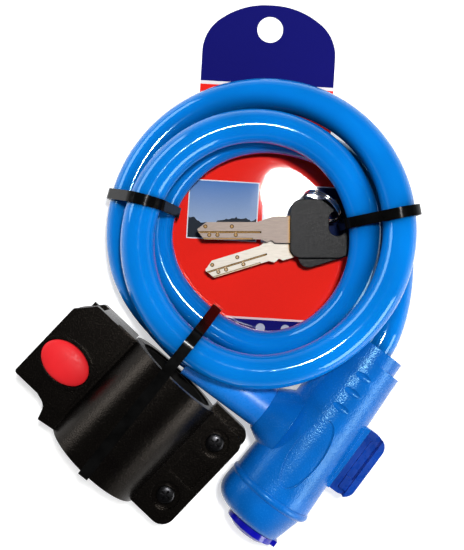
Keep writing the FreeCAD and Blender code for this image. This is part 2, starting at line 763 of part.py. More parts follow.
node(fuse("MountFoot", [foot_tee, catch_block, centre_rib]), "mount_foot", LOCK)

# Frame bracket: front and back halves about one bore

half_gap = "parting_gap / 2"


def clamp_half(name, side):
    """Half of the clamp's round wall, above (+1) or below (-1) the parting plane."""
    wall = cylinder(name + "Wall", ("0", "0", "0"), "clamp_outer_radius", "clamp_length", ALONG_X)
    hollow = cylinder(name + "Hollow", ("-1", "0", "0"), "clamp_inner_radius", "clamp_length + 2", ALONG_X)
    beyond = "clamp_outer_radius + 1"
    z_range = (half_gap, beyond) if side > 0 else ("-(%s)" % beyond, "-" + half_gap)
    keep = span(name + "Keep", ("-1", "clamp_length + 1"), ("-(%s)" % beyond, beyond), z_range)
    return common(name + "Half", [cut(name + "Ring", wall, [hollow]), keep])


def flange_outline(inner, near):
    """Plan of a screw flange, from inside the round wall to its rounded outer corners."""
    far = size.clamp_length - 0.9
    reach = size.flange_reach
    corner = size.flange_corner
    return rounded_outline([(near, inner, 0), (far, inner, 0), (far, reach, corner),
                            (near, reach, corner - 1.5)])


flange_inner = math.sqrt(size.clamp_outer_radius ** 2 - size.flange_thickness ** 2) - 1.5
front_flange = padded("FrontFlange", flange_outline(flange_inner, 0.6), "flange_thickness", half_gap)
back_flange = padded("BackFlange", flange_outline(flange_inner, -size.back_flange_lead), "flange_thickness",
                     "-flange_thickness - parting_gap / 2")


def block_outline():
    """Plan of the button block, with its cut corner and the sweep back to the clamp's far end."""
    near = size.block_near
    far = size.block_far
    outside = -size.block_outer
    inside = -size.block_inner
    return rounded_outline([(near, inside, 0), (near, outside + 7.2, 1.5), (near + 8.1, outside, 1.5),
                            (far, outside, 1.5), (far, inside, 0)])


def web_outline():
    """Plan of the web between the block and the round wall, which runs out to a point."""
    far = size.block_far
    tip = size.clamp_length + 1.7
    inside = -size.block_inner
    return rounded_outline([(0.6, inside - 9, 0), (far, inside - 15, 0), (far + 0.4, inside - 14.5, 0),
                            (far + 2.2, inside - 8.5, 5.0), (tip, inside - 6.3, 0),
                            (size.clamp_length, inside + 3.5, 0), (0.6, inside + 3.5, 0)])


front_block = padded("FrontBlock", block_outline(), "block_top + block_bottom", "-block_bottom")
front_web = padded("FrontWeb", web_outline(), "flange_thickness", half_gap)


def oval_column(name, grow, low_z, height):
    """An upright oval column about the button's axis, long across the clamp."""
    outline = primitive("Ellipse", name + "Outline", ("button_station", "-button_side", low_z),
                        FreeCAD.Rotation(V(0, 0, 1), 90), MajorRadius="button_length / 2 + %s" % grow,
                        MinorRadius="button_width / 2 + %s" % grow)
    column = doc.addObject("Part::Extrusion", name)
    column.Base = outline
    column.DirMode = "Custom"
    column.Dir = V(0, 0, 1)
    column.setExpression("LengthFwd", from_sheet(height))
    column.Solid = True
    return column


button_rim = oval_column("ButtonRim", "1.8", "block_top - 1", "2")
channel_x = "block_near + foot_length + 6"
channel_in = "block_outer - (foot_reach - foot_seat) - foot_clearance"
plate_top = "foot_height / 2 + foot_clearance"
channel_z = "-4"
plate_channel = span("PlateChannel", ("block_near - 1", channel_x),
                     ("-(%s) - foot_plate - 2 * foot_clearance - 0.6" % channel_in, "-(%s)" % channel_in),
                     ("%s - (%s)" % (channel_z, plate_top), "%s + %s" % (channel_z, plate_top)))
web_channel = span("WebChannel", ("block_near - 1", channel_x), ("-block_outer - 1", "-(%s)" % channel_in),
                   ("%s - foot_web / 2 - foot_clearance" % channel_z,
                    "%s + foot_web / 2 + catch_rise + foot_clearance" % channel_z))
latch_room = span("LatchRoom",
                  ("button_station - latch_width / 2 - 1", "button_station + latch_width / 2 + 1"),
                  ("-(%s) - 3" % channel_in, "-block_inner - block_wall - 3.4"),
                  ("-block_bottom + cover_thickness - 0.1", "block_top - 1"))
button_floor = "block_top - 2 * button_skirt - button_travel"
button_room = oval_column("ButtonRoom", "rest_gap", button_floor, "8")
cover_room = span("CoverRoom", ("block_near + block_wall", "block_far - block_wall"),
                  ("-block_outer + block_wall", "-block_inner - block_wall"),
                  ("-block_bottom - 1", "-block_bottom + cover_thickness"))
tongue_room = span("TongueRoom", ("4.6", "clamp_length - 10"), ("-block_inner - 6", "-block_inner + 1"),
                   ("-5.4", half_gap))


def screw_columns(name, low_z, high_z, radius):
    """One round column per clamp screw."""
    stations = ["screw_first + %d * screw_pitch" % number for number in range(2)]
    return [cylinder("%s%d" % (name, number), (station, "screw_side", low_z), radius,
                     "(%s) - (%s)" % (high_z, low_z)) for number, station in enumerate(stations)]


flange_top = "flange_thickness + parting_gap / 2"
screw_holes = screw_columns("FrontHole", "-1", "flange_thickness + 2", "screw_dia / 2 + fit_gap")
screw_seat = flange_top + " - screw_recess_depth"
recesses = screw_columns("ScrewRecess", screw_seat, flange_top + " + 2", "screw_recess_dia / 2")
pocket = box("FlangePocket", ("screw_first + screw_pitch / 2 - flange_pocket_length / 2",
                              "screw_side - flange_pocket_width / 2", flange_top + " - flange_pocket_depth"),
             ("flange_pocket_length", "flange_pocket_width", "flange_pocket_depth + 1"))
front_form = fuse("FrontForm", [clamp_half("Front", 1), front_flange, front_block, front_web, button_rim])
block_rooms = [plate_channel, web_channel, latch_room, button_room, cover_room]
front_cut = cut("BracketFront", front_form, block_rooms + [tongue_room, pocket] + screw_holes + recesses)
node(front_cut, "bracket_front", BRACKET)

back_tongue = span("BackTongue", ("5", "clamp_length - 10.4"),
                   ("-block_inner - 5.6", "-clamp_inner_radius - 1"), ("-5", "-" + half_gap))
back_holes = screw_columns("BackHole", "-flange_thickness - 2", "1", "screw_dia / 2 + fit_gap")


def nut_prism(name, number, grow, depth):
    """Six-sided column under the back flange, across one screw."""
    prism = primitive("Prism", "%s%d" % (name, number),
                      ("screw_first + %d * screw_pitch" % number, "screw_side", "-(%s)" % flange_top))
    prism.Polygon = 6
    prism.setExpression("Circumradius", from_sheet("nut_width / sqrt(3) + %s" % grow))
    prism.setExpression("Height", from_sheet(depth))
    return prism


nut_rooms = [nut_prism("NutRoom", number, "fit_gap", "nut_thickness + 0.1") for number in range(2)]
back_form = fuse("BackForm", [clamp_half("Back", -1), back_flange, back_tongue])
node(cut("BracketBack", back_form, back_holes + nut_rooms), "bracket_back", BRACKET)


def liner(name, side):
    """A rubber pad inside one clamp half."""
    pad = cylinder(name + "Pad", ("1", "0", "0"), "clamp_inner_radius", "clamp_length - 2", ALONG_X)
    hollow = cylinder(name + "Bore", ("-1", "0", "0"), "bore_radius", "clamp_length + 2", ALONG_X)
    z_range = ("1", "clamp_outer_radius") if side > 0 else ("-clamp_outer_radius", "-1")
    keep = span(name + "Keep", ("0", "clamp_length"), ("-clamp_outer_radius", "clamp_outer_radius"), z_range)
    return common(name, [cut(name + "Ring", pad, [hollow]), keep])


strap_way = span("StrapWay", ("-1", "clamp_length + 1"),
                 ("-strap_width / 2 - strap_lean - 0.6", "strap_width / 2 + 0.6"),
                 ("0", "bore_radius + liner_groove"))
node(cut("GroovedLiner", liner("FrontLiner", 1), [strap_way]), "front_liner", BRACKET)
node(liner("BackLiner", -1), "back_liner", BRACKET)


def clamp_screw(number):
    """Pan-head screw through both flanges."""
    x = "screw_first + %d * screw_pitch" % number
    shank = cylinder("ScrewShank%d" % number, (x, "screw_side", "-flange_thickness"), "screw_dia / 2",
                     "flange_thickness + %s" % screw_seat)
    head = cylinder("ScrewHead%d" % number, (x, "screw_side", screw_seat), "screw_head_dia / 2",
                    "screw_head_height")
    dome = primitive("Ellipsoid", "ScrewDome%d" % number,
                     (x, "screw_side", screw_seat + " + screw_head_height"),
                     Radius1="screw_head_height", Radius2="screw_head_dia / 2", Radius3="screw_head_dia / 2")
    dome.Angle1 = 0
    slot_low = screw_seat + " + screw_head_height - 0.3"
    slot_a = box("ScrewSlotA%d" % number, (x + " - screw_dia * 0.6", "screw_side - 0.5", slot_low),
                 ("screw_dia * 1.2", "1", "screw_head_height + 1"))
    slot_b = box("ScrewSlotB%d" % number, (x + " - 0.5", "screw_side - screw_dia * 0.6", slot_low),
                 ("1", "screw_dia * 1.2", "screw_head_height + 1"))
    return cut("ClampScrew%d" % number, fuse("ScrewForm%d" % number, [shank, head, dome]), [slot_a, slot_b])


node(group("ClampScrews", [clamp_screw(number) for number in range(2)]), "clamp_screws", BRACKET)
nut_bores = screw_columns("NutBore", "-flange_thickness - 2", "0", "screw_dia / 2 + fit_gap")
nuts = [cut("Nut%d" % number, nut_prism("NutForm", number, "0", "nut_thickness"), [nut_bores[number]])
        for number in range(2)]
node(group("ClampNuts", nuts), "clamp_nuts", BRACKET)

# Red release button, its spring, the latch under it and the cover below

button_skirt = oval_column("ButtonSkirt", "0", "block_top - button_skirt", "button_skirt + 0.9")
button_dome = primitive("Ellipsoid", "ButtonDome", ("button_station", "-button_side", "block_top + 0.9"),
                        Radius1="button_rise", Radius2="button_width / 2", Radius3="button_length / 2")
button_dome.Angle1 = 0
button_form = fuse("ReleaseButton", [button_skirt, button_dome])
node(button_form, "release_button", BRACKET)

latch_face = "-(%s) + 0.5" % channel_in
toe_top = "%s - (%s) + latch_bite" % (channel_z, plate_top)
toe_low = toe_top + " - latch_toe"
latch_top = "block_top - button_skirt"
latch_x = ("button_station - latch_width / 2", "button_station + latch_width / 2")
latch_head = cylinder("LatchHead", ("button_station", "-button_side", latch_top + " - latch_toe"),
                      "latch_width / 2 - 0.4", "latch_toe")
latch_stem = span("LatchStem", latch_x, (latch_face, latch_face + " + latch_thickness"), (toe_low, latch_top))
latch_toe = span("LatchToe", latch_x, (latch_face + " - 2.7", latch_face + " + 1"), (toe_low, toe_top))
node(fuse("LatchHook", [latch_head, latch_stem, latch_toe]), "latch_hook", BRACKET)

spring_y = latch_face + " + latch_thickness + rest_gap + spring_radius"
spring_wall = cylinder("ButtonSpringWall", ("button_station", spring_y, "-block_bottom + cover_thickness"),
                       "spring_radius", "%s - latch_toe + block_bottom - cover_thickness" % latch_top)
spring_hollow = cylinder("ButtonSpringHollow", ("button_station", spring_y, "-block_bottom"),
                         "spring_radius - 0.7", "block_top + block_bottom")
node(cut("ButtonSpring", spring_wall, [spring_hollow]), "button_spring", BRACKET)

cover_plate = span("CoverPlate", ("block_near + block_wall + fit_gap", "block_far - block_wall - fit_gap"),
                   ("-block_outer + block_wall + fit_gap", "-block_inner - block_wall - fit_gap"),
                   ("-block_bottom", "-block_bottom + cover_thickness"))
node(group("SocketCover", [cover_plate]), "socket_cover", BRACKET)

# Keys: a milled blade moulded into a black head, both about the head's hole


def key_head(name, tang):
    """Rounded head with the oval hole and the hollow that the blade's tang fills."""
    left = -size.key_hole_inset
    right = left + size.key_head_length
    bottom = -size.key_hole_rise
    top = bottom + size.key_head_width
    corner = size.key_head_corner
    outline = rounded_outline([(left, bottom, corner), (right, bottom, corner - 1), (right, top, corner - 1),
                               (left, top, corner)])
    head = padded(name, outline, "key_head_thickness", "-key_head_thickness / 2")
    doc.recompute()
    half = size.key_hole_width / 2
    reach = size.key_hole_length / 2
    round_end = half - 0.01
    hole = rounded_outline([(-half, -reach, round_end), (half, -reach, round_end), (half, reach, round_end),
                            (-half, reach, round_end)])
    pocketed(head, name + "Hole", hole, "key_head_thickness + 1", "-key_head_thickness / 2 - 0.5")
    return cut(name + "Piece", head, [tang])


def blade_body(name):
    """Flat blade with its shoulder, sloped step and pointed tip."""
    edge = size.key_head_length - size.key_hole_inset
    middle = size.blade_offset
    low = middle - size.blade_width / 2
    high = middle + size.blade_width / 2
    shoulder_low = middle - size.shoulder_width / 2 - 0.4
    shoulder_high = middle + size.shoulder_width / 2 - 0.8
    tip = size.blade_reach
    tang = edge - size.blade_embed
    outline = rounded_outline([
        (tang, low, 0), (edge - 0.4, low, 0), (edge - 0.4, shoulder_low, 0), (edge + 7, shoulder_low, 1.5),
        (edge + 15.5, low, 3.0), (tip - 4.5, low, 1.0), (tip, middle - 0.6, 0.8), (tip - 3.2, high, 1.0),
        (edge + 13.5, high, 0.8), (edge + 11, high + 1.4, 0.6), (edge + 8.6, high + 0.2, 0.8),
        (edge + 7, shoulder_high, 0.8), (edge - 0.4, shoulder_high, 0), (edge - 0.4, high, 0),
        (tang, high, 0)])
    return padded(name, outline, "blade_thickness", "-blade_thickness / 2")


DIMPLES = [
    # distance from the blade's tip, and side of its milled line
    (4.0, -1),
    (16.3, -1),
    (5.8, 1),
    (9.6, 1),
    (18.1, 1),
]


def key_blade(name):
    """The blade with its milled lines and its round code dimples on both faces."""
    tools = []
    half = "blade_thickness / 2"
    for face, height in (("Top", half + " - milling_depth"), ("Under", "-%s - milling_depth" % half)):
        depth = (height, "(%s) + 2 * milling_depth" % height)
        tools.append(span(name + face + "Line", ("blade_reach - 30", "blade_reach + 1"),
                          ("blade_offset + 0.2", "blade_offset + 1.1"), depth))
        tools.append(span(name + face + "Side", ("blade_reach - 26", "blade_reach + 1"),
                          ("blade_offset + blade_width / 2 - 0.7", "blade_offset + blade_width / 2 + 1"),
                          depth))
        for number, (from_tip, side) in enumerate(DIMPLES):
            place = ("blade_reach - %g" % from_tip, "blade_offset + blade_width / 4 * %d" % side, height)
            tools.append(cylinder("%s%sDimple%d" % (name, face, number), place, "dimple_radius",
                                  "2 * milling_depth"))
    return cut(name + "Milled", blade_body(name), tools)


def tang_copy(name):
    """The room that the tang takes in the head."""
    return span(name, ("key_head_length - key_hole_inset - blade_embed", "key_head_length"),
                ("blade_offset - blade_width / 2", "blade_offset + blade_width / 2"),
                ("-blade_thickness / 2", "blade_thickness / 2"))


def shoulder_copy(name):
    """The room that the shoulder's edge takes in the head."""
    return span(name, ("key_head_length - key_hole_inset - 0.4", "key_head_length"),
                ("blade_offset - shoulder_width / 2 - 0.4", "blade_offset + shoulder_width / 2 - 0.8"),
                ("-blade_thickness / 2", "blade_thickness / 2"))


def add_key(number, height, turn):
    """One key whose hole's axis stands on the ring and the tie."""
    place = FreeCAD.Placement(V(size.hole_x, size.hole_y, height), FreeCAD.Rotation(V(0, 0, 1), 180 + turn))
    name = "Key%d" % number
    tang = fuse(name + "TangRoom", [tang_copy(name + "Tang"), shoulder_copy(name + "Shoulder")])
    node(key_head(name + "Head", tang), "key_%d_head" % number, place)
    node(key_blade(name + "Blade"), "key_%d_blade" % number, place)


head_low = size.key_head_low
head_high = head_low + size.key_head_thickness
add_key(1, head_high + size.rest_gap + size.key_head_thickness / 2, 0)
add_key(2, head_low + size.key_head_thickness / 2, size.key_2_turn)

ring_heading = math.radians(size.ring_heading)
ring_along = V(math.cos(ring_heading), math.sin(ring_heading), 0)
ring_lean = V(0, 0, 1).cross(ring_along) * math.sin(math.radians(size.ring_tilt))
ring_up = (ring_lean + V(0, 0, math.cos(math.radians(size.ring_tilt)))).normalize()
ring_middle = V(size.hole_x - size.ring_back, size.hole_y + size.ring_side, head_high + size.ring_lift)
ring_place = FreeCAD.Placement(ring_middle, FreeCAD.Rotation(ring_along, ring_up, ring_along.cross(ring_up)))
ring_turns = [torus("RingTurn%d" % number, ("0", "0", "ring_wire * %g" % share), "ring_radius",
                    "ring_wire / 2") for number, share in enumerate((-0.45, 0.45))]
node(fuse("KeyRing", ring_turns), "key_ring", ring_place)

# Cable ties: a closed strap through corner points of a vertical plane, with its head

low_run = size.card_thickness + size.strap_gap + size.strap_thickness / 2
strap_reach = cable_radius + size.tie_clearance + size.strap_thickness / 2
path_points = cable_path.discretize(Number=int(cable_path.Length))


def crossings(start, direction, within=80.0):
    """Where the cable passes the vertical plane ahead of a point: distance along it and height."""
    across = V(-direction.y, direction.x, 0)
    found = []
    for first, second in zip(path_points, path_points[1:]):
        side_1 = (first - start).dot(across)
        side_2 = (second - start).dot(across)
        if side_1 * side_2 <= 0 and 0 < (first - start).dot(direction) < within:
            share = side_1 / (side_1 - side_2)
            meet = first + (second - first) * share
            found.append(((meet - start).dot(direction), meet.z))
    return found


def make_tie(corners, head_at, start, direction):
    """A strap through the corners, standing on edge across its plane, with the head as a block."""
    wire = Part.Wire([edge.toShape() for edge in rounded_outline(corners)])
    half = size.strap_thickness / 2
    strap = Part.Face(wire.makeOffset2D(half)).cut(Part.Face(wire.makeOffset2D(-half)))
    strap = strap.extrude(V(0, 0, size.strap_width))
    strap.translate(V(0, 0, -size.strap_width / 2))
    head = Part.makeBox(size.tie_head_length, size.tie_head_height, size.tie_head_width,
                        V(head_at[0], head_at[1], -size.tie_head_width / 2))
    tie = strap.Solids[0].fuse(head).removeSplitter()
    turn = FreeCAD.Rotation(direction, V(0, 0, 1), direction.cross(V(0, 0, 1)))
    return tie, FreeCAD.Placement(V(start.x, start.y, 0), turn)


def add_tie(name, label, corners, head_at, start, direction):
    tie, place = make_tie(corners, head_at, start, direction)
    node(plain(name, tie), label, place)


def hugging(points, reach):
    """Corner points of the belt about equal round sections, given in order."""
    corners = []
    count = len(points)
    for i, (x, z) in enumerate(points):
        here = V(x, z, 0)
        before = (V(*points[i - 1], 0) - here).normalize()
        after = (V(*points[(i + 1) % count], 0) - here).normalize()
        half = before.getAngle(after) / 2
        outwards = (before + after).normalize() * -1
        corner = here + outwards * (reach / math.sin(half))
        corners.append((corner.x, corner.y, reach))
    return corners


def bearing(degrees):
    """Level direction at an angle from the +X axis."""
    return V(math.cos(math.radians(degrees)), math.sin(math.radians(degrees)), 0)


left_direction = bearing(size.left_tie_angle)
first_pass, second_pass, third_pass = crossings(V(), left_direction)
add_tie("LeftTie", "left_tie", hugging([first_pass, third_pass, second_pass], strap_reach),
        (first_pass[0] - size.tie_head_length, size.card_thickness + size.strap_gap), V(), left_direction)

key_tie_start = V(size.key_tie_x, size.key_tie_y, 0)
key_direction = bearing(size.key_tie_angle)
upper_pass, inner_pass, tail_pass = crossings(key_tie_start, key_direction)
roof = math.atan2(upper_pass[1] - inner_pass[1], upper_pass[0] - inner_pass[0])
key_reach = strap_reach + size.key_tie_slack
roof_start = inner_pass[1] + key_reach / math.cos(roof) - inner_pass[0] * math.tan(roof)
outer_run = max(upper_pass[0], tail_pass[0]) + key_reach
add_tie("KeyTie", "key_tie", [(0, low_run, 1.6), (outer_run, low_run, key_reach),
                              (outer_run, roof_start + outer_run * math.tan(roof), key_reach),
                              (0, roof_start, 5.0)],
        (size.tie_head_length, low_run), key_tie_start, key_direction)

near_point = BRACKET.multVec(V(0, -size.strap_lean, 0))
far_point = BRACKET.multVec(V(size.clamp_length, 0, 0))
bracket_direction = (far_point - near_point).normalize()
tie_start = V(near_point.x, near_point.y, 0)
near_pass, upper_loop, lower_loop = [V(-run, height, 0) for run, height in
                                     crossings(tie_start, bracket_direction * -1, 50.0)]
far_run = size.clamp_length + size.strap_gap + size.strap_thickness
crown_run = 2 * size.clamp_outer_radius + size.strap_gap + size.strap_thickness / 2
groove_roof = size.clamp_outer_radius + size.bore_radius + size.liner_groove
inner_run = groove_roof - size.strap_gap - size.strap_thickness / 2


def meeting(point_1, slope_1, point_2, slope_2):
    """Where two sloped lines of a tie's plane meet."""
    x = (point_2.y - point_1.y + slope_1 * point_1.x - slope_2 * point_2.x) / (slope_1 - slope_2)
    return x, point_1.y + slope_1 * (x - point_1.x)


def beside(point, other, side):
    """A point beside a pass, and the slope of the line that also touches the other pass."""
    along = (other - point).normalize()
    return point + V(along.y, -along.x, 0) * (side * strap_reach), along.y / along.x


under_point, under_slope = beside(lower_loop, near_pass, 1)
left_point, left_slope = beside(lower_loop, upper_loop, -1)
crown_point = V(1.5, crown_run, 0)
roof_line = crown_point - upper_loop
roof_turn = math.atan2(roof_line.y, roof_line.x) - math.asin(strap_reach / roof_line.Length)
right_run = near_pass.x + strap_reach
corner_low = (right_run, under_point.y + under_slope * (right_run - under_point.x))
corner_left = meeting(under_point, under_slope, left_point, left_slope)
corner_top = meeting(left_point, left_slope, crown_point, math.tan(roof_turn))
add_tie("BracketTie", "bracket_tie",
        [(far_run, inner_run, 0.9), (far_run, crown_run, 0.9), (1.5, crown_run, 10.0),
         (corner_top[0], corner_top[1], strap_reach), (corner_left[0], corner_left[1], strap_reach),
         (corner_low[0], corner_low[1], strap_reach), (-1.0, inner_run, 1.4)],
        (lower_loop.x + strap_reach - 1.5, low_run + 0.6), tie_start, bracket_direction)

# Display card under the coil

card_half = size.card_header_width / 2
body_half = size.card_body_width / 2
card_outline = rounded_outline([
    (-card_half, -52.0, 3.0), (-card_half, -1.8, 19.6), (-13.2, 11.7, 37.0), (13.2, 11.7, 37.0),
    (card_half, -1.8, 19.6), (card_half, -52.0, 3.0),
    (body_half, -52.0, 8.0), (body_half, -150.0, 8.0), (-body_half, -150.0, 8.0), (-body_half, -52.0, 8.0)])
card = padded("DisplayCard", card_outline + [circle(0, 0, size.card_hole_dia / 2)], "card_thickness")
node(card, "display_card", FreeCAD.Placement(V(4.66, 98.7, 0), FreeCAD.Rotation(V(0, 0, 1), -3.4)))

# Every object must be sound before anything is written

doc.recompute()
for item in doc.Objects:
    if "Invalid" in item.State or "Error" in item.State:
        raise RuntimeError("%s failed: %s" % (item.Name, item.State))
for item in nodes:
    if item.Shape.isNull() or not item.Shape.isValid():
        raise RuntimeError("%s has no sound shape" % item.Label)

os.makedirs("parts", exist_ok=True)
for item in nodes:
    item.Shape.exportStep(os.path.join("parts", item.Label + ".step"))
    bounds = item.Shape.BoundBox
    print("%-16s solids %d  volume %9.1f  x %.1f to %.1f  y %.1f to %.1f  z %.1f to %.1f" % (
        item.Label, len(item.Shape.Solids), item.Shape.Volume, bounds.XMin, bounds.XMax, bounds.YMin,
        bounds.YMax, bounds.ZMin, bounds.ZMax))
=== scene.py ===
"""Cable lock on its display card: finishes, cable and stage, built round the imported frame."""
from math import cos, pi, radians, sin

import bmesh
import bpy
from bpy.props import FloatProperty, FloatVectorProperty, PointerProperty
from mathutils import Matrix, Vector


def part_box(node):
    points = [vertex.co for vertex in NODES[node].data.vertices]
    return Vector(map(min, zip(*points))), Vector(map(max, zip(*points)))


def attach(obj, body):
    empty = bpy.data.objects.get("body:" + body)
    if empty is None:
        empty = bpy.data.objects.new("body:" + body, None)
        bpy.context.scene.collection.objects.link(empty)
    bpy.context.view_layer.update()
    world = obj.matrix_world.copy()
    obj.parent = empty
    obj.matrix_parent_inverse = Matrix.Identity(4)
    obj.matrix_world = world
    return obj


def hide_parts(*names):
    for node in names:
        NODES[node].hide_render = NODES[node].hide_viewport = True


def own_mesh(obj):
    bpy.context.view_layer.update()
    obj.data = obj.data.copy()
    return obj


bl_info = {
    "name": "Cable lock on a display card",
    "version": (1, 1, 0),
    "blender": (4, 5, 0),
    "location": "3D View > Sidebar > Cable lock",
    "description": "Dresses a coiled cable lock, its frame bracket, keys, ties and card",
    "category": "Add Mesh",
}

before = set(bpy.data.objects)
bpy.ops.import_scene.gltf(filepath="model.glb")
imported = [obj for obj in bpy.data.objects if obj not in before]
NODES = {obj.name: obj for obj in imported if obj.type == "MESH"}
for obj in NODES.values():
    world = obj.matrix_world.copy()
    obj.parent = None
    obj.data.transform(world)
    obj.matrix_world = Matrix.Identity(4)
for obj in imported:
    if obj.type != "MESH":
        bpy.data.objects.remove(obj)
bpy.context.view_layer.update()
MM = 0.001
# a Mix node of colours: its settings, its sockets for the share and for the colours at 0 and 1, and its result
RGBA = {"data_type": "RGBA"}
SHARE, AT_0, AT_1, MIXED = 0, 6, 7, 2
STROKES = (14.0, 1.0, 1.0)   # how far the grain of a metal is drawn out along each axis


# Colours, nodes and places

def linear(hex_colour):
    """An sRGB hex colour as linear red, green, blue and alpha."""
    channels = [int(hex_colour[i:i + 2], 16) / 255 for i in (1, 3, 5)]
    return [c / 12.92 if c <= 0.04045 else ((c + 0.055) / 1.055) ** 2.4 for c in channels] + [1.0]


def toned(colour, share):
    """The same colour with a share of its light."""
    return [share * c for c in colour[:3]] + [1.0]


def add_node(tree, kind, settings=None, inputs=None):
    """Adds a shader node, sets its properties, and fills its inputs with values, nodes or sockets."""
    made = tree.nodes.new("ShaderNode" + kind)
    for name, value in (settings or {}).items():
        setattr(made, name, value)
    for name, value in (inputs or {}).items():
        if isinstance(value, bpy.types.Node):
            value = value.outputs[0]
        if isinstance(value, bpy.types.NodeSocket):
            tree.links.new(value, made.inputs[name])
        else:
            made.inputs[name].default_value = value
    return made


def new_material(name):
    """An empty node material and its tree."""
    material = bpy.data.materials.new(name)
    material.use_nodes = True
    material.node_tree.nodes.clear()
    return material, material.node_tree


def finish_node(material, *names):
    """Gives carried-over nodes their finish."""
    for name in names:
        mesh = NODES[name].data
        mesh.materials.clear()
        mesh.materials.append(material)


def frame_at(x, y, z, turn):
    """A frame whose place is in millimetres, turned by so many degrees about the upright."""
    return Matrix.Translation((x * MM, y * MM, z * MM)) @ Matrix.Rotation(radians(turn), 4, "Z")


# where the solids have the lock head, which lies along the frame's x, and how far they turn the card
LOCK = frame_at(4.54, -115.9, 20.5, 53.4)
CARD_TURN = radians(-3.42)


# What a user would change

class CableLockColours(bpy.types.PropertyGroup):
    cable: FloatVectorProperty(name="Cable", description="Colour of the cable's cover", subtype="COLOR",
                               size=4, min=0, max=1, default=linear("#0482e4"))
    casing: FloatVectorProperty(name="Casing", description="Colour of the lock head", subtype="COLOR",
                                size=4, min=0, max=1, default=linear("#0665be"))
    button: FloatVectorProperty(name="Button", description="Colour of the release button", subtype="COLOR",
                                size=4, min=0, max=1, default=linear("#e8262c"))
    card_body: FloatVectorProperty(name="Card body", description="Colour printed on the card's body",
                                   subtype="COLOR", size=4, min=0, max=1, default=linear("#f6281e"))
    card_header: FloatVectorProperty(name="Card header", description="Colour printed on the card's header",
                                     subtype="COLOR", size=4, min=0, max=1, default=linear("#15156a"))


class CableLockSizes(bpy.types.PropertyGroup):
    cable_diameter: FloatProperty(name="Cable diameter", description="Across the cable's cover",
                                  unit="LENGTH", default=0.015, min=0.006, max=0.025)
    cable_length: FloatProperty(name="Cable length", description="From the plug to the head",
                                unit="LENGTH", default=1.013, min=0.5, max=2.5)
    camera_height: FloatProperty(name="Camera height", description="Camera above the floor",
                                 unit="LENGTH", default=0.410, min=0.2, max=3.0)


# Finishes

def extruded_pvc(colour):
    """Soft PVC cover, extruded: a wet-looking gloss with crisp thin highlights and a little depth of colour."""
    material, tree = new_material("extruded_pvc_azure")
    point = add_node(tree, "TexCoord").outputs["Object"]
    # the pigment is a little uneven, over a few centimetres
    cloud = add_node(tree, "TexNoise", inputs={"Vector": point, "Scale": 1 / (30 * MM), "Detail": 1.0})
    shade = add_node(tree, "Mix", RGBA, {SHARE: cloud, AT_0: colour, AT_1: toned(colour, 0.6)})
    # painted shade: the cover is darkened where less of the sky reaches, between turns that lie against each other
    # and down the sides of each turn
    open_sky = add_node(tree, "AmbientOcclusion", {"samples": 8}, {"Distance": 14 * MM})
    clear_of_painted_shade = add_node(tree, "MapRange", inputs={"Value": open_sky.outputs["AO"], "From Min": 0.25, "From Max": 0.95})
    shade = add_node(tree, "Mix", RGBA,
                     {SHARE: clear_of_painted_shade, AT_0: toned(colour, 0.25), AT_1: shade.outputs[MIXED]})
    # the die leaves a faint waviness a few millimetres long, which breaks the highlights
    wave = add_node(tree, "TexNoise", inputs={"Vector": point, "Scale": 1 / (9 * MM), "Detail": 1.0})
    skin = add_node(tree, "Bump", inputs={"Height": wave, "Distance": 0.02 * MM})
    # handling dulls the gloss in spots
    rub = add_node(tree, "TexNoise", inputs={"Vector": point, "Scale": 1 / (4 * MM)})
    gloss = add_node(tree, "MapRange", inputs={"Value": rub, "From Min": 0.3, "From Max": 0.7,
                                               "To Min": 0.05, "To Max": 0.1})
    shader = add_node(tree, "BsdfPrincipled", inputs={
        "Base Color": shade.outputs[MIXED], "Roughness": gloss, "IOR": 1.53, "Normal": skin,
        "Specular Tint": linear("#b8f0ff"),
        "Subsurface Weight": 0.1, "Subsurface Radius": (0.1, 0.45, 1.0), "Subsurface Scale": 3 * MM})
    add_node(tree, "OutputMaterial", inputs={"Surface": shader})
    return material


def moulded(name, light, dark, roughness, blotch=12, pitch=0.6, depth=0.05, edge=0.3, shine=0.5,
            glint=(1, 1, 1, 1), ior=1.53):
    """A moulded plastic or rubber: two tones in slow blotches, the tool's grain in relief and gloss, and edges
    that the tool leaves round. Lengths are in millimetres."""
    material, tree = new_material(name)
    point = add_node(tree, "TexCoord").outputs["Object"]
    flow = add_node(tree, "TexNoise", inputs={"Vector": point, "Scale": 1 / (blotch * MM), "Detail": 2.0})
    tone = add_node(tree, "MapRange", inputs={"Value": flow, "From Min": 0.3, "From Max": 0.7})
    shade = add_node(tree, "Mix", RGBA, {SHARE: tone, AT_0: light, AT_1: dark})
    pits = add_node(tree, "TexNoise", inputs={"Vector": point, "Scale": 1 / (pitch * MM), "Detail": 1.5})
    gloss = add_node(tree, "MapRange", inputs={"Value": pits, "From Min": 0.3, "From Max": 0.7,
                                               "To Min": roughness * 0.8, "To Max": roughness * 1.25})
    skin = add_node(tree, "Bump", inputs={"Height": pits, "Distance": depth * MM})
    if edge:
        rounded = add_node(tree, "Bevel", {"samples": 6}, {"Radius": edge * MM})
        tree.links.new(rounded.outputs[0], skin.inputs["Normal"])
    shader = add_node(tree, "BsdfPrincipled", inputs={
        "Base Color": shade.outputs[MIXED], "Roughness": gloss, "IOR": ior, "Specular IOR Level": shine,
        "Specular Tint": glint, "Normal": skin})
    add_node(tree, "OutputMaterial", inputs={"Surface": shader})
    return material


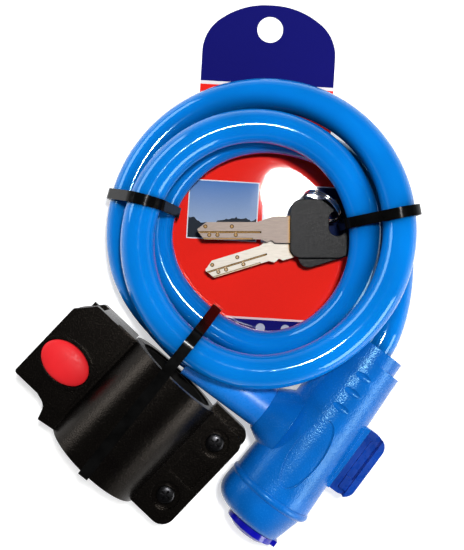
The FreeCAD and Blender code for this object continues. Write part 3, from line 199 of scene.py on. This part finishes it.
def brushed_metal(name, light, dark, roughness):
    """Metal with a fine one-way grain from belt or wheel, darker in its hollows, and broken edges."""
    material, tree = new_material(name)
    point = add_node(tree, "TexCoord").outputs["Object"]
    along = add_node(tree, "Mapping", {"vector_type": "TEXTURE"}, {"Vector": point, "Scale": STROKES})
    # a real stroke is under 0.1 mm wide, and is drawn coarser so that it shows
    strokes = add_node(tree, "TexNoise", inputs={"Vector": along, "Scale": 1 / (0.25 * MM), "Detail": 2.0})
    stains = add_node(tree, "TexNoise", inputs={"Vector": point, "Scale": 1 / (5 * MM), "Detail": 3.0})
    shade = add_node(tree, "Mix", RGBA, {SHARE: stains, AT_0: linear(light), AT_1: linear(dark)})
    # darker where less of the sky reaches, in hollows and close to other parts
    open_sky = add_node(tree, "AmbientOcclusion", {"samples": 8}, {"Distance": 1.2 * MM})
    hollow = add_node(tree, "MapRange", inputs={"Value": open_sky.outputs["AO"], "From Min": 0.35, "From Max": 0.85})
    darkened_in_hollows = add_node(tree, "Mix", RGBA,
                    {SHARE: hollow, AT_0: toned(linear(dark), 0.25), AT_1: shade.outputs[MIXED]})
    rounded = add_node(tree, "Bevel", {"samples": 6}, {"Radius": 0.12 * MM})
    skin = add_node(tree, "Bump", inputs={"Height": strokes, "Distance": 0.008 * MM, "Normal": rounded})
    gloss = add_node(tree, "MapRange", inputs={"Value": strokes, "From Min": 0.3, "From Max": 0.7,
                                               "To Min": roughness * 0.75, "To Max": roughness * 1.4})
    shader = add_node(tree, "BsdfPrincipled", inputs={
        "Base Color": darkened_in_hollows.outputs[MIXED], "Metallic": 1.0, "Roughness": gloss, "Normal": skin})
    add_node(tree, "OutputMaterial", inputs={"Surface": shader})
    return material


def plated_key_brass(name, light, dark):
    """Nickel-plated brass blank, tumbled and then milled: warm grey satin, gold where a cutter went in."""
    material, tree = new_material(name)
    point = add_node(tree, "TexCoord").outputs["Object"]
    along = add_node(tree, "Mapping", {"vector_type": "TEXTURE"}, {"Vector": point, "Scale": STROKES})
    # tumbling leaves strokes under 0.1 mm wide, which are drawn coarser so that they show
    strokes = add_node(tree, "TexNoise", inputs={"Vector": along, "Scale": 1 / (0.3 * MM), "Detail": 2.0})
    plate = add_node(tree, "Mix", RGBA, {SHARE: strokes, AT_0: linear(light), AT_1: linear(dark)})
    # where less of the sky reaches, in a cutter's hollows and close to other parts: bare brass on the flanks, and
    # painted shade that darkens the depths
    open_sky = add_node(tree, "AmbientOcclusion", {"samples": 8}, {"Distance": 1.6 * MM})
    milled = add_node(tree, "MapRange", inputs={"Value": open_sky.outputs["AO"], "From Min": 0.8, "From Max": 0.92})
    painted_depth_shade = add_node(tree, "MapRange", inputs={"Value": open_sky.outputs["AO"], "From Min": 0.6, "From Max": 0.88})
    # painted shade: from near black in the depths to the gold of bare brass
    brass_and_painted_shade = add_node(tree, "Mix", RGBA, {SHARE: painted_depth_shade, AT_0: linear("#1c140a"), AT_1: linear("#c0903c")})
    colour = add_node(tree, "Mix", RGBA,
                      {SHARE: milled, AT_0: brass_and_painted_shade.outputs[MIXED], AT_1: plate.outputs[MIXED]})
    skin = add_node(tree, "Bump", inputs={"Height": strokes, "Distance": 0.01 * MM})
    shader = add_node(tree, "BsdfPrincipled", inputs={
        "Base Color": colour.outputs[MIXED], "Metallic": 1.0, "Roughness": 0.6, "Normal": skin})
    add_node(tree, "OutputMaterial", inputs={"Surface": shader})
    return material


def laminated_card(header_colour, body_colour):
    """Offset-printed board under clear film: flat saturated inks, a wet gloss that follows slight waves, and
    the bare pale board on its cut edges and back."""
    material, tree = new_material("laminated_printed_card")
    point = add_node(tree, "TexCoord").outputs["Object"]
    board = add_node(tree, "Mapping", {"vector_type": "TEXTURE"}, {"Vector": point, "Rotation": (0, 0, CARD_TURN)})
    place = add_node(tree, "SeparateXYZ", inputs={0: board})
    across, up = place.outputs["X"], place.outputs["Y"]
    # two plain pictures: a hazy sky above a dark hill, and thin cloud; a dark strip at the cloud's right is painted
    # shade
    haze = add_node(tree, "MapRange", inputs={"Value": up, "From Min": -3 * MM, "From Max": 25 * MM})
    sky = add_node(tree, "Mix", RGBA, {SHARE: haze, AT_0: linear("#b4c4d6"), AT_1: linear("#5580bd")})
    ridge = add_node(tree, "TexNoise", {"noise_dimensions": "2D"},
                     {"Vector": board, "Scale": 1 / (11 * MM), "Detail": 3.0})
    crest = add_node(tree, "Math", {"operation": "MULTIPLY"}, {0: ridge, 1: 13 * MM})
    on_hill = add_node(tree, "Math", {"operation": "LESS_THAN"}, {0: up, 1: crest})
    view = add_node(tree, "Mix", RGBA, {SHARE: on_hill, AT_0: sky.outputs[MIXED], AT_1: linear("#2e343c")})
    veil = add_node(tree, "TexNoise", inputs={"Vector": board, "Scale": 1 / (9 * MM), "Detail": 5.0})
    thin = add_node(tree, "MapRange", inputs={"Value": veil, "From Min": 0.36, "From Max": 0.52})
    cloud = add_node(tree, "Mix", RGBA, {SHARE: thin, AT_0: linear("#5f88c0"), AT_1: linear("#f2f5f8")})
    # painted shade: the cloud's right part is darkened to navy where the key head's hole lies over it
    painted_hole_shade = add_node(tree, "MapRange", inputs={"Value": across, "From Min": 20 * MM, "From Max": 27 * MM})
    cloud = add_node(tree, "Mix", RGBA, {SHARE: painted_hole_shade, AT_0: cloud.outputs[MIXED], AT_1: linear("#101c40")})
    # each printed area over the last: its middle and half sizes in mm on the card, and its ink
    colour = body_colour
    for x, y, half_x, half_y, ink in (
            (0, 122, 60, 49.2, header_colour), (0, 72, 60, 0.8, linear("#f0e8ea")),
            (0, -90, 60, 50.8, header_colour), (0, -39.5, 60, 0.5, linear("#e8c8cc")),
            (-18.7, 11.2, 16.8, 14.2, linear("#e9ecf2")), (-18.7, 11.2, 16.3, 13.7, view.outputs[MIXED]),
            (20.3, 11.2, 20.0, 14.2, linear("#e9ecf2")), (20.3, 11.2, 19.5, 13.7, cloud.outputs[MIXED])):
        apart = add_node(tree, "VectorMath", {"operation": "SUBTRACT"}, {0: board, 1: (x * MM, y * MM, 0)})
        apart = add_node(tree, "VectorMath", {"operation": "ABSOLUTE"}, {0: apart})
        apart = add_node(tree, "SeparateXYZ", inputs={0: apart})
        in_x = add_node(tree, "Math", {"operation": "LESS_THAN"}, {0: apart.outputs["X"], 1: half_x * MM})
        in_y = add_node(tree, "Math", {"operation": "LESS_THAN"}, {0: apart.outputs["Y"], 1: half_y * MM})
        inside = add_node(tree, "Math", {"operation": "MULTIPLY"}, {0: in_x, 1: in_y})
        colour = add_node(tree, "Mix", RGBA, {SHARE: inside, AT_0: colour, AT_1: ink}).outputs[MIXED]
    # a row of plain pale dots on the face of the lower band
    row, face, dot = -43.9 * MM, 0.5 * MM, 2.2 * MM
    for x in (-21.5, -9.5, 2.5, 14.5):
        apart = add_node(tree, "VectorMath", {"operation": "DISTANCE"}, {0: board, 1: (x * MM, row, face)})
        inside = add_node(tree, "Math", {"operation": "LESS_THAN"}, {0: apart.outputs["Value"], 1: dot})
        colour = add_node(tree, "Mix", RGBA,
                          {SHARE: inside, AT_0: colour, AT_1: linear("#b4b8cc")}).outputs[MIXED]
    # the screen of the print is near 0.15 mm; it is drawn coarser so that it shows
    speckle = add_node(tree, "TexNoise", inputs={"Vector": point, "Scale": 1 / (0.35 * MM), "Detail": 2.0})
    spots = add_node(tree, "MapRange", inputs={"Value": speckle, "From Min": 0.3, "From Max": 0.7, "To Max": 0.06})
    colour = add_node(tree, "Mix", RGBA, {SHARE: spots, AT_0: colour, AT_1: linear("#202020")}).outputs[MIXED]
    # only the face that looks up is printed
    facing = add_node(tree, "SeparateXYZ", inputs={0: add_node(tree, "NewGeometry").outputs["Normal"]})
    printed = add_node(tree, "Math", {"operation": "GREATER_THAN"}, {0: facing.outputs["Z"], 1: 0.5})
    colour = add_node(tree, "Mix", RGBA, {SHARE: printed, AT_0: linear("#cfcbc2"), AT_1: colour}).outputs[MIXED]
    wave = add_node(tree, "TexNoise", inputs={"Vector": point, "Scale": 1 / (24 * MM), "Detail": 2.0})
    film = add_node(tree, "Bump", inputs={"Height": wave, "Distance": 0.08 * MM})
    shader = add_node(tree, "BsdfPrincipled", inputs={
        "Base Color": colour, "Roughness": 0.6, "IOR": 1.5, "Specular IOR Level": 0.0, "Normal": film,
        "Coat Weight": 0.7, "Coat Roughness": 0.04, "Coat Normal": film})
    add_node(tree, "OutputMaterial", inputs={"Surface": shader})
    return material


# Operators

class CABLELOCK_OT_cable(bpy.types.Operator):
    """Builds the coiled cable as one smooth spline in place of its solid"""
    bl_idname = "cable_lock.cable"
    bl_label = "Cable"

    COIL_RADIUS = 55.0   # mm
    LOW = 9.95           # mm, the middle of a lowest turn, which lies on a tie's strap over the card
    PITCH = 15.0         # mm, the cable's diameter as drawn
    # degrees clockwise from the right; then out of the coil's radius and up from its low turns, in diameters
    STATIONS = ((-240.5, 0.55, 0.70), (-180, 0.60, 0.40), (-120, 0.63, 0.17), (-50, 0.57, 0.82), (0, 0.36, 1.48),
                (50, 0.23, 2.00), (95, 0.38, 2.10), (145, 0.17, 1.86), (180, 0.00, 1.61), (240, -0.35, 1.26),
                (300, -0.55, 1.09), (340, -0.60, 0.93), (385, -0.43, 0.60), (450, -0.18, 0.11), (481, -0.46, 0.00),
                (540, -0.40, 0.00), (610, -0.63, 0.00), (662, -0.47, 0.01), (710, 0.37, 0.08), (740, 0.69, 0.39),
                (763.2, 1.22, 0.70))
    FIRST, LAST, STEP = -202.5, 742.5, 22.5   # degrees
    COLLAR = 27.6                      # mm along the lock, to the collar on its side
    OUT_OF_SLEEVE = 49.9, 62.0, 74.0   # mm from the lock's axis, from inside the sleeve to clear of it
    INTO_HEAD = 86.0, 72.0, 60.0       # mm along the lock, from clear of its top end to inside it

    def eased(self, column, angle):
        """A value between two stations, on a curve whose slope there follows their neighbours."""
        i = max(k for k in range(1, len(self.STATIONS) - 2) if k == 1 or self.STATIONS[k][0] <= angle)
        (a, va), (b, vb), (c, vc), (d, vd) = [(row[0], row[column]) for row in self.STATIONS[i - 1:i + 3]]
        gap = c - b
        slope_b = ((vb - va) / (b - a) * gap + (vc - vb) / gap * (b - a)) / (c - a) * gap
        slope_c = ((vc - vb) / gap * (d - c) + (vd - vc) / (d - c) * gap) / (d - b) * gap
        t = (angle - b) / gap
        square, cube = 3 * (vc - vb) - 2 * slope_b - slope_c, 2 * (vb - vc) + slope_b + slope_c
        return vb + t * (slope_b + t * (square + t * cube))

    def route(self):
        """Control points from the plug's sleeve, round the coil and into the top of the head."""
        outward = 1 / cos(radians(self.STEP / 2))  # the spline runs inside its points
        points = [LOCK @ Vector((self.COLLAR * MM, across * MM, 0)) for across in self.OUT_OF_SLEEVE]
        for step in range(round((self.LAST - self.FIRST) / self.STEP) + 1):
            angle = self.FIRST + step * self.STEP
            radius = (self.COIL_RADIUS + self.PITCH * self.eased(1, angle)) * outward
            height = self.LOW + self.PITCH * self.eased(2, angle)
            turn = radians(angle)
            points.append(Vector((radius * cos(turn), -radius * sin(turn), height)) * MM)
        return points + [LOCK @ Vector((along * MM, 0, 0)) for along in self.INTO_HEAD]

    def execute(self, context):
        sizes, colours = context.scene.cable_lock_sizes, context.scene.cable_lock_colours
        points = self.route()
        curve = bpy.data.curves.new("cable", "CURVE")
        curve.dimensions = "3D"
        line = curve.splines.new("NURBS")
        line.points.add(len(points) - 1)
        for control, point in zip(line.points, points):
            control.co = (*point, 1.0)
        line.order_u = 3
        line.use_endpoint_u = True
        curve.resolution_u = 10
        curve.bevel_depth = sizes.cable_diameter / 2
        curve.bevel_resolution = 8
        curve.use_fill_caps = True
        curve.materials.append(extruded_pvc(list(colours.cable)))
        cable = bpy.data.objects.new("cable", curve)
        context.scene.collection.objects.link(cable)
        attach(cable, "lock_and_card")
        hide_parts("cable_coil")
        return {"FINISHED"}


class CABLELOCK_OT_lock_head(bpy.types.Operator):
    """Finishes the moulded lock head, its key end and the working parts inside"""
    bl_idname = "cable_lock.lock_head"
    bl_label = "Lock head"

    def execute(self, context):
        blue = list(context.scene.cable_lock_colours.casing)
        # ABS from a spark-eroded tool: satin, with a grain that sparkles along the highlight. The real grain
        # is near 0.1 mm, and is drawn coarser so that it shows
        finish_node(moulded("spark_textured_abs_blue", blue, toned(blue, 0.78), 0.24, blotch=14, pitch=0.7,
                            depth=0.13, edge=0.35, shine=0.36, glint=linear("#a4e8ff")),
                    "lock_casing", "key_end_bezel")
        # ABS from a polished tool: even gloss, a deeper blue than the barrel
        finish_node(moulded("polished_abs_deep_blue", linear("#0846ae"), linear("#063894"), 0.28, pitch=2.5,
                            depth=0.01, edge=0, shine=0.35), "mount_foot")
        # the same for the swinging cover, in a glossier navy
        finish_node(moulded("polished_abs_navy", linear("#0a0aac"), linear("#080890"), 0.2, pitch=2.5,
                            depth=0.01, edge=0), "dust_cap")
        # PVC sleeve moulded over the cable: the cable's colour, a little paler and duller
        finish_node(moulded("overmoulded_pvc_sleeve", linear("#1a84e6"), linear("#1678dc"), 0.3, pitch=1.2,
                            depth=0.02, edge=0.5), "ferrule_sleeve")
        # turned and plated steel: a bright cool grey
        finish_node(brushed_metal("nickel_plated_steel", "#c9cacc", "#a8a9ac", 0.22), "dust_cap_pin",
                    "locking_bolt", "locking_ferrule", "fixed_ferrule", "plug_clip", "cam_plate", "pin_springs",
                    "driver_pins")
        # turned brass: yellow, with a soft shine
        finish_node(brushed_metal("machined_brass", "#d8b060", "#b88f45", 0.26), "key_plug", "plug_pins")
        # zinc as it leaves the die: dull mid grey
        finish_node(brushed_metal("die_cast_zinc", "#9a9ca0", "#77797d", 0.45), "lock_body")
        return {"FINISHED"}


class CABLELOCK_OT_bracket(bpy.types.Operator):
    """Finishes the frame bracket, its pads, screws and red release button"""
    bl_idname = "cable_lock.bracket"
    bl_label = "Frame bracket"

    SPRING_RADIUS = 2.15, 0.3   # mm, of the winding and of its wire
    SPRING_TURNS, SPRING_SIDES = 9, 16
    SPRING_GAP = 0.05           # mm, left at each end
    SPRING_KEEP = 0.885         # what the button's 2.4 mm leave of its length
    WIRE_SIDES = 8

    def spring(self, context):
        """Winds the release button's spring on its seat, between the cover and the latch."""
        low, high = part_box("button_spring")
        winding, wire = (radius * MM for radius in self.SPRING_RADIUS)
        gap = self.SPRING_GAP * MM
        middle = (low + high) / 2
        climb = high.z - low.z - 2 * wire - 2 * gap
        start = Vector((middle.x + winding, middle.y, low.z + wire + gap))
        coil = bmesh.new()
        section = bmesh.ops.create_circle(coil, cap_ends=False, segments=self.WIRE_SIDES, radius=wire)["verts"]
        bmesh.ops.rotate(coil, verts=section, cent=(0, 0, 0), matrix=Matrix.Rotation(pi / 2, 3, "X"))
        bmesh.ops.translate(coil, verts=section, vec=start)
        steps = self.SPRING_TURNS * self.SPRING_SIDES
        bmesh.ops.spin(coil, geom=coil.verts[:] + coil.edges[:], cent=middle, axis=(0, 0, 1),
                       angle=2 * pi * self.SPRING_TURNS, steps=steps, dvec=(0, 0, climb / steps))
        ends = [edge for edge in coil.edges if edge.is_boundary]
        bmesh.ops.holes_fill(coil, edges=ends, sides=self.WIRE_SIDES)
        bmesh.ops.recalc_face_normals(coil, faces=coil.faces)
        # a spin lays the faces of a ring in an order that changes from run to run
        coil.verts.index_update()
        coil.faces.sort(key=lambda face: sum(vert.index ** 2 for vert in face.verts))
        for face in coil.faces:
            face.smooth = len(face.verts) < self.WIRE_SIDES
        mesh = bpy.data.meshes.new("button_return_spring")
        coil.to_mesh(mesh)
        coil.free()
        # drawn music wire: mid grey with a dull shine
        mesh.materials.append(brushed_metal("music_wire", "#9a9b9d", "#808184", 0.3))
        spring = bpy.data.objects.new("button_return_spring", mesh)
        context.scene.collection.objects.link(spring)
        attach(spring, "lock_and_card")
        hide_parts("button_spring")
        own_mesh(spring)

    def execute(self, context):
        # glass-filled nylon: matt black with the tool's grain, brownish grey where light rakes over it. The
        # real grain is near 0.2 mm, and is drawn coarser so that it shows
        finish_node(moulded("glass_filled_nylon_black", linear("#080706"), linear("#050404"), 0.24, blotch=10,
                            pitch=0.6, depth=0.09, edge=0.3, ior=1.3, shine=0.4, glint=linear("#ffeedd")),
                    "bracket_front", "bracket_back", "socket_cover")
        # EPDM rubber: dull black with a powdery skin, drawn coarser than it is so that it shows
        finish_node(moulded("moulded_epdm_rubber", linear("#0c0c0c"), linear("#121110"), 0.7, blotch=5,
                            pitch=0.5, depth=0.03, ior=1.3, shine=0.2), "front_liner", "back_liner")
        # blackened steel: dark heads with a bright rim where the light catches them
        finish_node(brushed_metal("black_oxide_steel", "#3a3a3c", "#242426", 0.3), "clamp_screws", "clamp_nuts")
        # ABS button: an even satin red with hardly any grain
        red = list(context.scene.cable_lock_colours.button)
        finish_node(moulded("satin_abs_red", red, toned(red, 0.9), 0.45, pitch=1.5, depth=0.01, shine=0.15),
                    "release_button")
        # acetal latch: smooth charcoal
        finish_node(moulded("moulded_acetal_black", linear("#121212"), linear("#181818"), 0.35), "latch_hook")
        self.spring(context)
        return {"FINISHED"}


class CABLELOCK_OT_keys(bpy.types.Operator):
    """Finishes the two keys and their split ring"""
    bl_idname = "cable_lock.keys"
    bl_label = "Keys"

    def execute(self, context):
        # ABS key head: satin, with a fine even grain. The real one is near 0.1 mm, and is drawn coarser so
        # that it shows
        finish_node(moulded("satin_abs_key_head", linear("#0d0d0e"), linear("#141415"), 0.45, blotch=4,
                            pitch=0.6, depth=0.016, edge=0.5, shine=0.12), "key_1_head", "key_2_head")
        finish_node(plated_key_brass("tumbled_nickel_plated_brass", "#9c8f86", "#7c7069"), "key_1_blade")
        # the lower key leans to the light, and its colour is painted a tone brighter: a painted highlight
        finish_node(plated_key_brass("tumbled_nickel_plated_brass_lit", "#ccc6bc", "#a8a096"), "key_2_blade")
        # plated spring steel: nearly white, and the glossiest metal here
        finish_node(brushed_metal("nickel_plated_ring_steel", "#e6e4de", "#bdbab2", 0.14), "key_ring")
        return {"FINISHED"}


class CABLELOCK_OT_ties(bpy.types.Operator):
    """Finishes the three cable ties"""
    bl_idname = "cable_lock.ties"
    bl_label = "Cable ties"

    def execute(self, context):
        # nylon 6/6: black, glossy on its smooth outer face, with slow flow marks
        finish_node(moulded("moulded_nylon_tie", linear("#050505"), linear("#0c0c0c"), 0.15, blotch=6, pitch=3.0,
                            depth=0.02, edge=0, ior=1.25, shine=0.22), "left_tie", "key_tie", "bracket_tie")
        return {"FINISHED"}


class CABLELOCK_OT_card(bpy.types.Operator):
    """Prints the display card that the coil is tied to"""
    bl_idname = "cable_lock.card"
    bl_label = "Display card"

    def execute(self, context):
        colours = context.scene.cable_lock_colours
        finish_node(laminated_card(list(colours.card_header), list(colours.card_body)), "display_card")
        return {"FINISHED"}


class CABLELOCK_OT_stage(bpy.types.Operator):
    """Lays the pale floor and sets the soft lights and the camera"""
    bl_idname = "cable_lock.stage"
    bl_label = "Stage"

    FLOOR_HALF = 3.0                 # metres
    FLOOR_DROP = 0.3                 # mm, which keeps it clear of the card's back
    FLOOR_GLOW = 0.5                 # what the camera, mirrors and clear pieces see of it besides lit paper
    CAMERA_OVER = (-13.64, -18.64)   # mm in plan
    PICTURE_HEIGHT = 263.5           # mm of floor that the picture's height takes in
    SENSOR = 36                      # mm, along the picture's height
    # name, place and aim in metres, width and height of its face, brightness where a white card in it is 1, shape
    LAMPS = (
        ("ring_lamp", (0.056, 0.079, 0.65), (0.0, -0.02, 0.02), 0.067, 0.067, 320, "DISK"),
        ("upper_left_softbox", (-0.56, 0.50, 0.27), (0.0, -0.02, 0.02), 0.60, 0.26, 6.0, "RECTANGLE"),
        ("lower_right_softbox", (0.59, -0.45, 0.30), (0.0, -0.05, 0.02), 0.60, 0.26, 9.0, "RECTANGLE"))

    def floor(self, context):
        """Matt paper that lights the object as paper does, and looks white to the camera and in mirrors."""
        shape = bmesh.new()
        bmesh.ops.create_grid(shape, x_segments=1, y_segments=1, size=self.FLOOR_HALF)
        bmesh.ops.translate(shape, verts=shape.verts, vec=(0, 0, -self.FLOOR_DROP * MM))
        mesh = bpy.data.meshes.new("floor")
        shape.to_mesh(mesh)
        shape.free()
        floor = bpy.data.objects.new("floor", mesh)
        context.scene.collection.objects.link(floor)
        material, tree = new_material("matt_white_paper")
        paper = add_node(tree, "BsdfDiffuse", inputs={"Color": (0.8, 0.8, 0.8, 1)})
        path = add_node(tree, "LightPath")
        seen = add_node(tree, "Math", {"operation": "MAXIMUM"},
                        {0: path.outputs["Is Camera Ray"], 1: path.outputs["Is Glossy Ray"]})
        seen = add_node(tree, "Math", {"operation": "MAXIMUM"}, {0: seen, 1: path.outputs["Is Transmission Ray"]})
        level = add_node(tree, "Math", {"operation": "MULTIPLY"}, {0: seen, 1: self.FLOOR_GLOW})
        glow = add_node(tree, "Emission", inputs={"Strength": level})
        both = add_node(tree, "AddShader", inputs={0: paper, 1: glow})
        add_node(tree, "OutputMaterial", inputs={"Surface": both})
        mesh.materials.append(material)

    def surroundings(self, context):
        """A pale room round a dark ceiling, so that faces turned up keep their colour."""
        world = bpy.data.worlds.new("pale_studio")
        world.use_nodes = True
        tree = world.node_tree
        tree.nodes.clear()
        ray = add_node(tree, "SeparateXYZ", inputs={0: add_node(tree, "TexCoord").outputs["Generated"]})
        level = add_node(tree, "MapRange", {"interpolation_type": "SMOOTHSTEP"}, {
            "Value": ray.outputs["Z"], "From Min": 0.03, "From Max": 0.5, "To Min": 0.85, "To Max": 0.05})
        light = add_node(tree, "Background", inputs={"Strength": level})
        add_node(tree, "OutputWorld", inputs={"Surface": light})
        context.scene.world = world

    def lamp(self, context, name, place, aim, width, height, level, shape):
        """A lamp with a disc or a rectangle for a face, which is as bright as its level says."""
        data = bpy.data.lights.new(name, "AREA")
        data.shape = shape
        data.size = width
        area = pi * width * width / 4
        if shape == "RECTANGLE":
            data.size_y = height
            area = width * height
        # a matt face's power is its brightness times its area times pi
        data.energy = level * area * pi
        lamp = bpy.data.objects.new(name, data)
        lamp.location = place
        lamp.rotation_euler = (Vector(aim) - Vector(place)).to_track_quat("-Z", "Y").to_euler()
        context.scene.collection.objects.link(lamp)

    def execute(self, context):
        self.floor(context)
        self.surroundings(context)
        for row in self.LAMPS:
            self.lamp(context, *row)
        height = context.scene.cable_lock_sizes.camera_height
        camera_data = bpy.data.cameras.new("camera")
        camera_data.sensor_width = self.SENSOR
        camera_data.lens = self.SENSOR / 2 / (self.PICTURE_HEIGHT * MM / 2 / height)
        camera_data.clip_start = 0.01
        camera = bpy.data.objects.new("camera", camera_data)
        camera.location = (self.CAMERA_OVER[0] * MM, self.CAMERA_OVER[1] * MM, height)
        context.scene.collection.objects.link(camera)
        context.scene.camera = camera
        context.scene.view_settings.view_transform = "Standard"
        return {"FINISHED"}


class VIEW3D_PT_cable_lock(bpy.types.Panel):
    """Steps that dress the cable lock, in order"""
    bl_idname = "VIEW3D_PT_cable_lock"
    bl_label = "Cable lock"
    bl_space_type = "VIEW_3D"
    bl_region_type = "UI"
    bl_category = "Cable lock"

    def draw(self, context):
        for step in STEPS:
            self.layout.operator(step.bl_idname)
        for group in (context.scene.cable_lock_colours, context.scene.cable_lock_sizes):
            for name in group.__annotations__:
                self.layout.prop(group, name)


STEPS = (CABLELOCK_OT_stage, CABLELOCK_OT_cable, CABLELOCK_OT_lock_head, CABLELOCK_OT_bracket, CABLELOCK_OT_keys,
         CABLELOCK_OT_ties, CABLELOCK_OT_card)
CLASSES = (CableLockColours, CableLockSizes, *STEPS, VIEW3D_PT_cable_lock)


def register():
    for cls in CLASSES:
        bpy.utils.register_class(cls)
    bpy.types.Scene.cable_lock_colours = PointerProperty(type=CableLockColours)
    bpy.types.Scene.cable_lock_sizes = PointerProperty(type=CableLockSizes)


def unregister():
    del bpy.types.Scene.cable_lock_sizes
    del bpy.types.Scene.cable_lock_colours
    for cls in reversed(CLASSES):
        bpy.utils.unregister_class(cls)


def main():
    register()
    bpy.ops.cable_lock.stage()
    bpy.ops.cable_lock.cable()
    bpy.ops.cable_lock.lock_head()
    bpy.ops.cable_lock.bracket()
    bpy.ops.cable_lock.keys()
    bpy.ops.cable_lock.ties()
    bpy.ops.cable_lock.card()


if __name__ == "__main__":
    main()
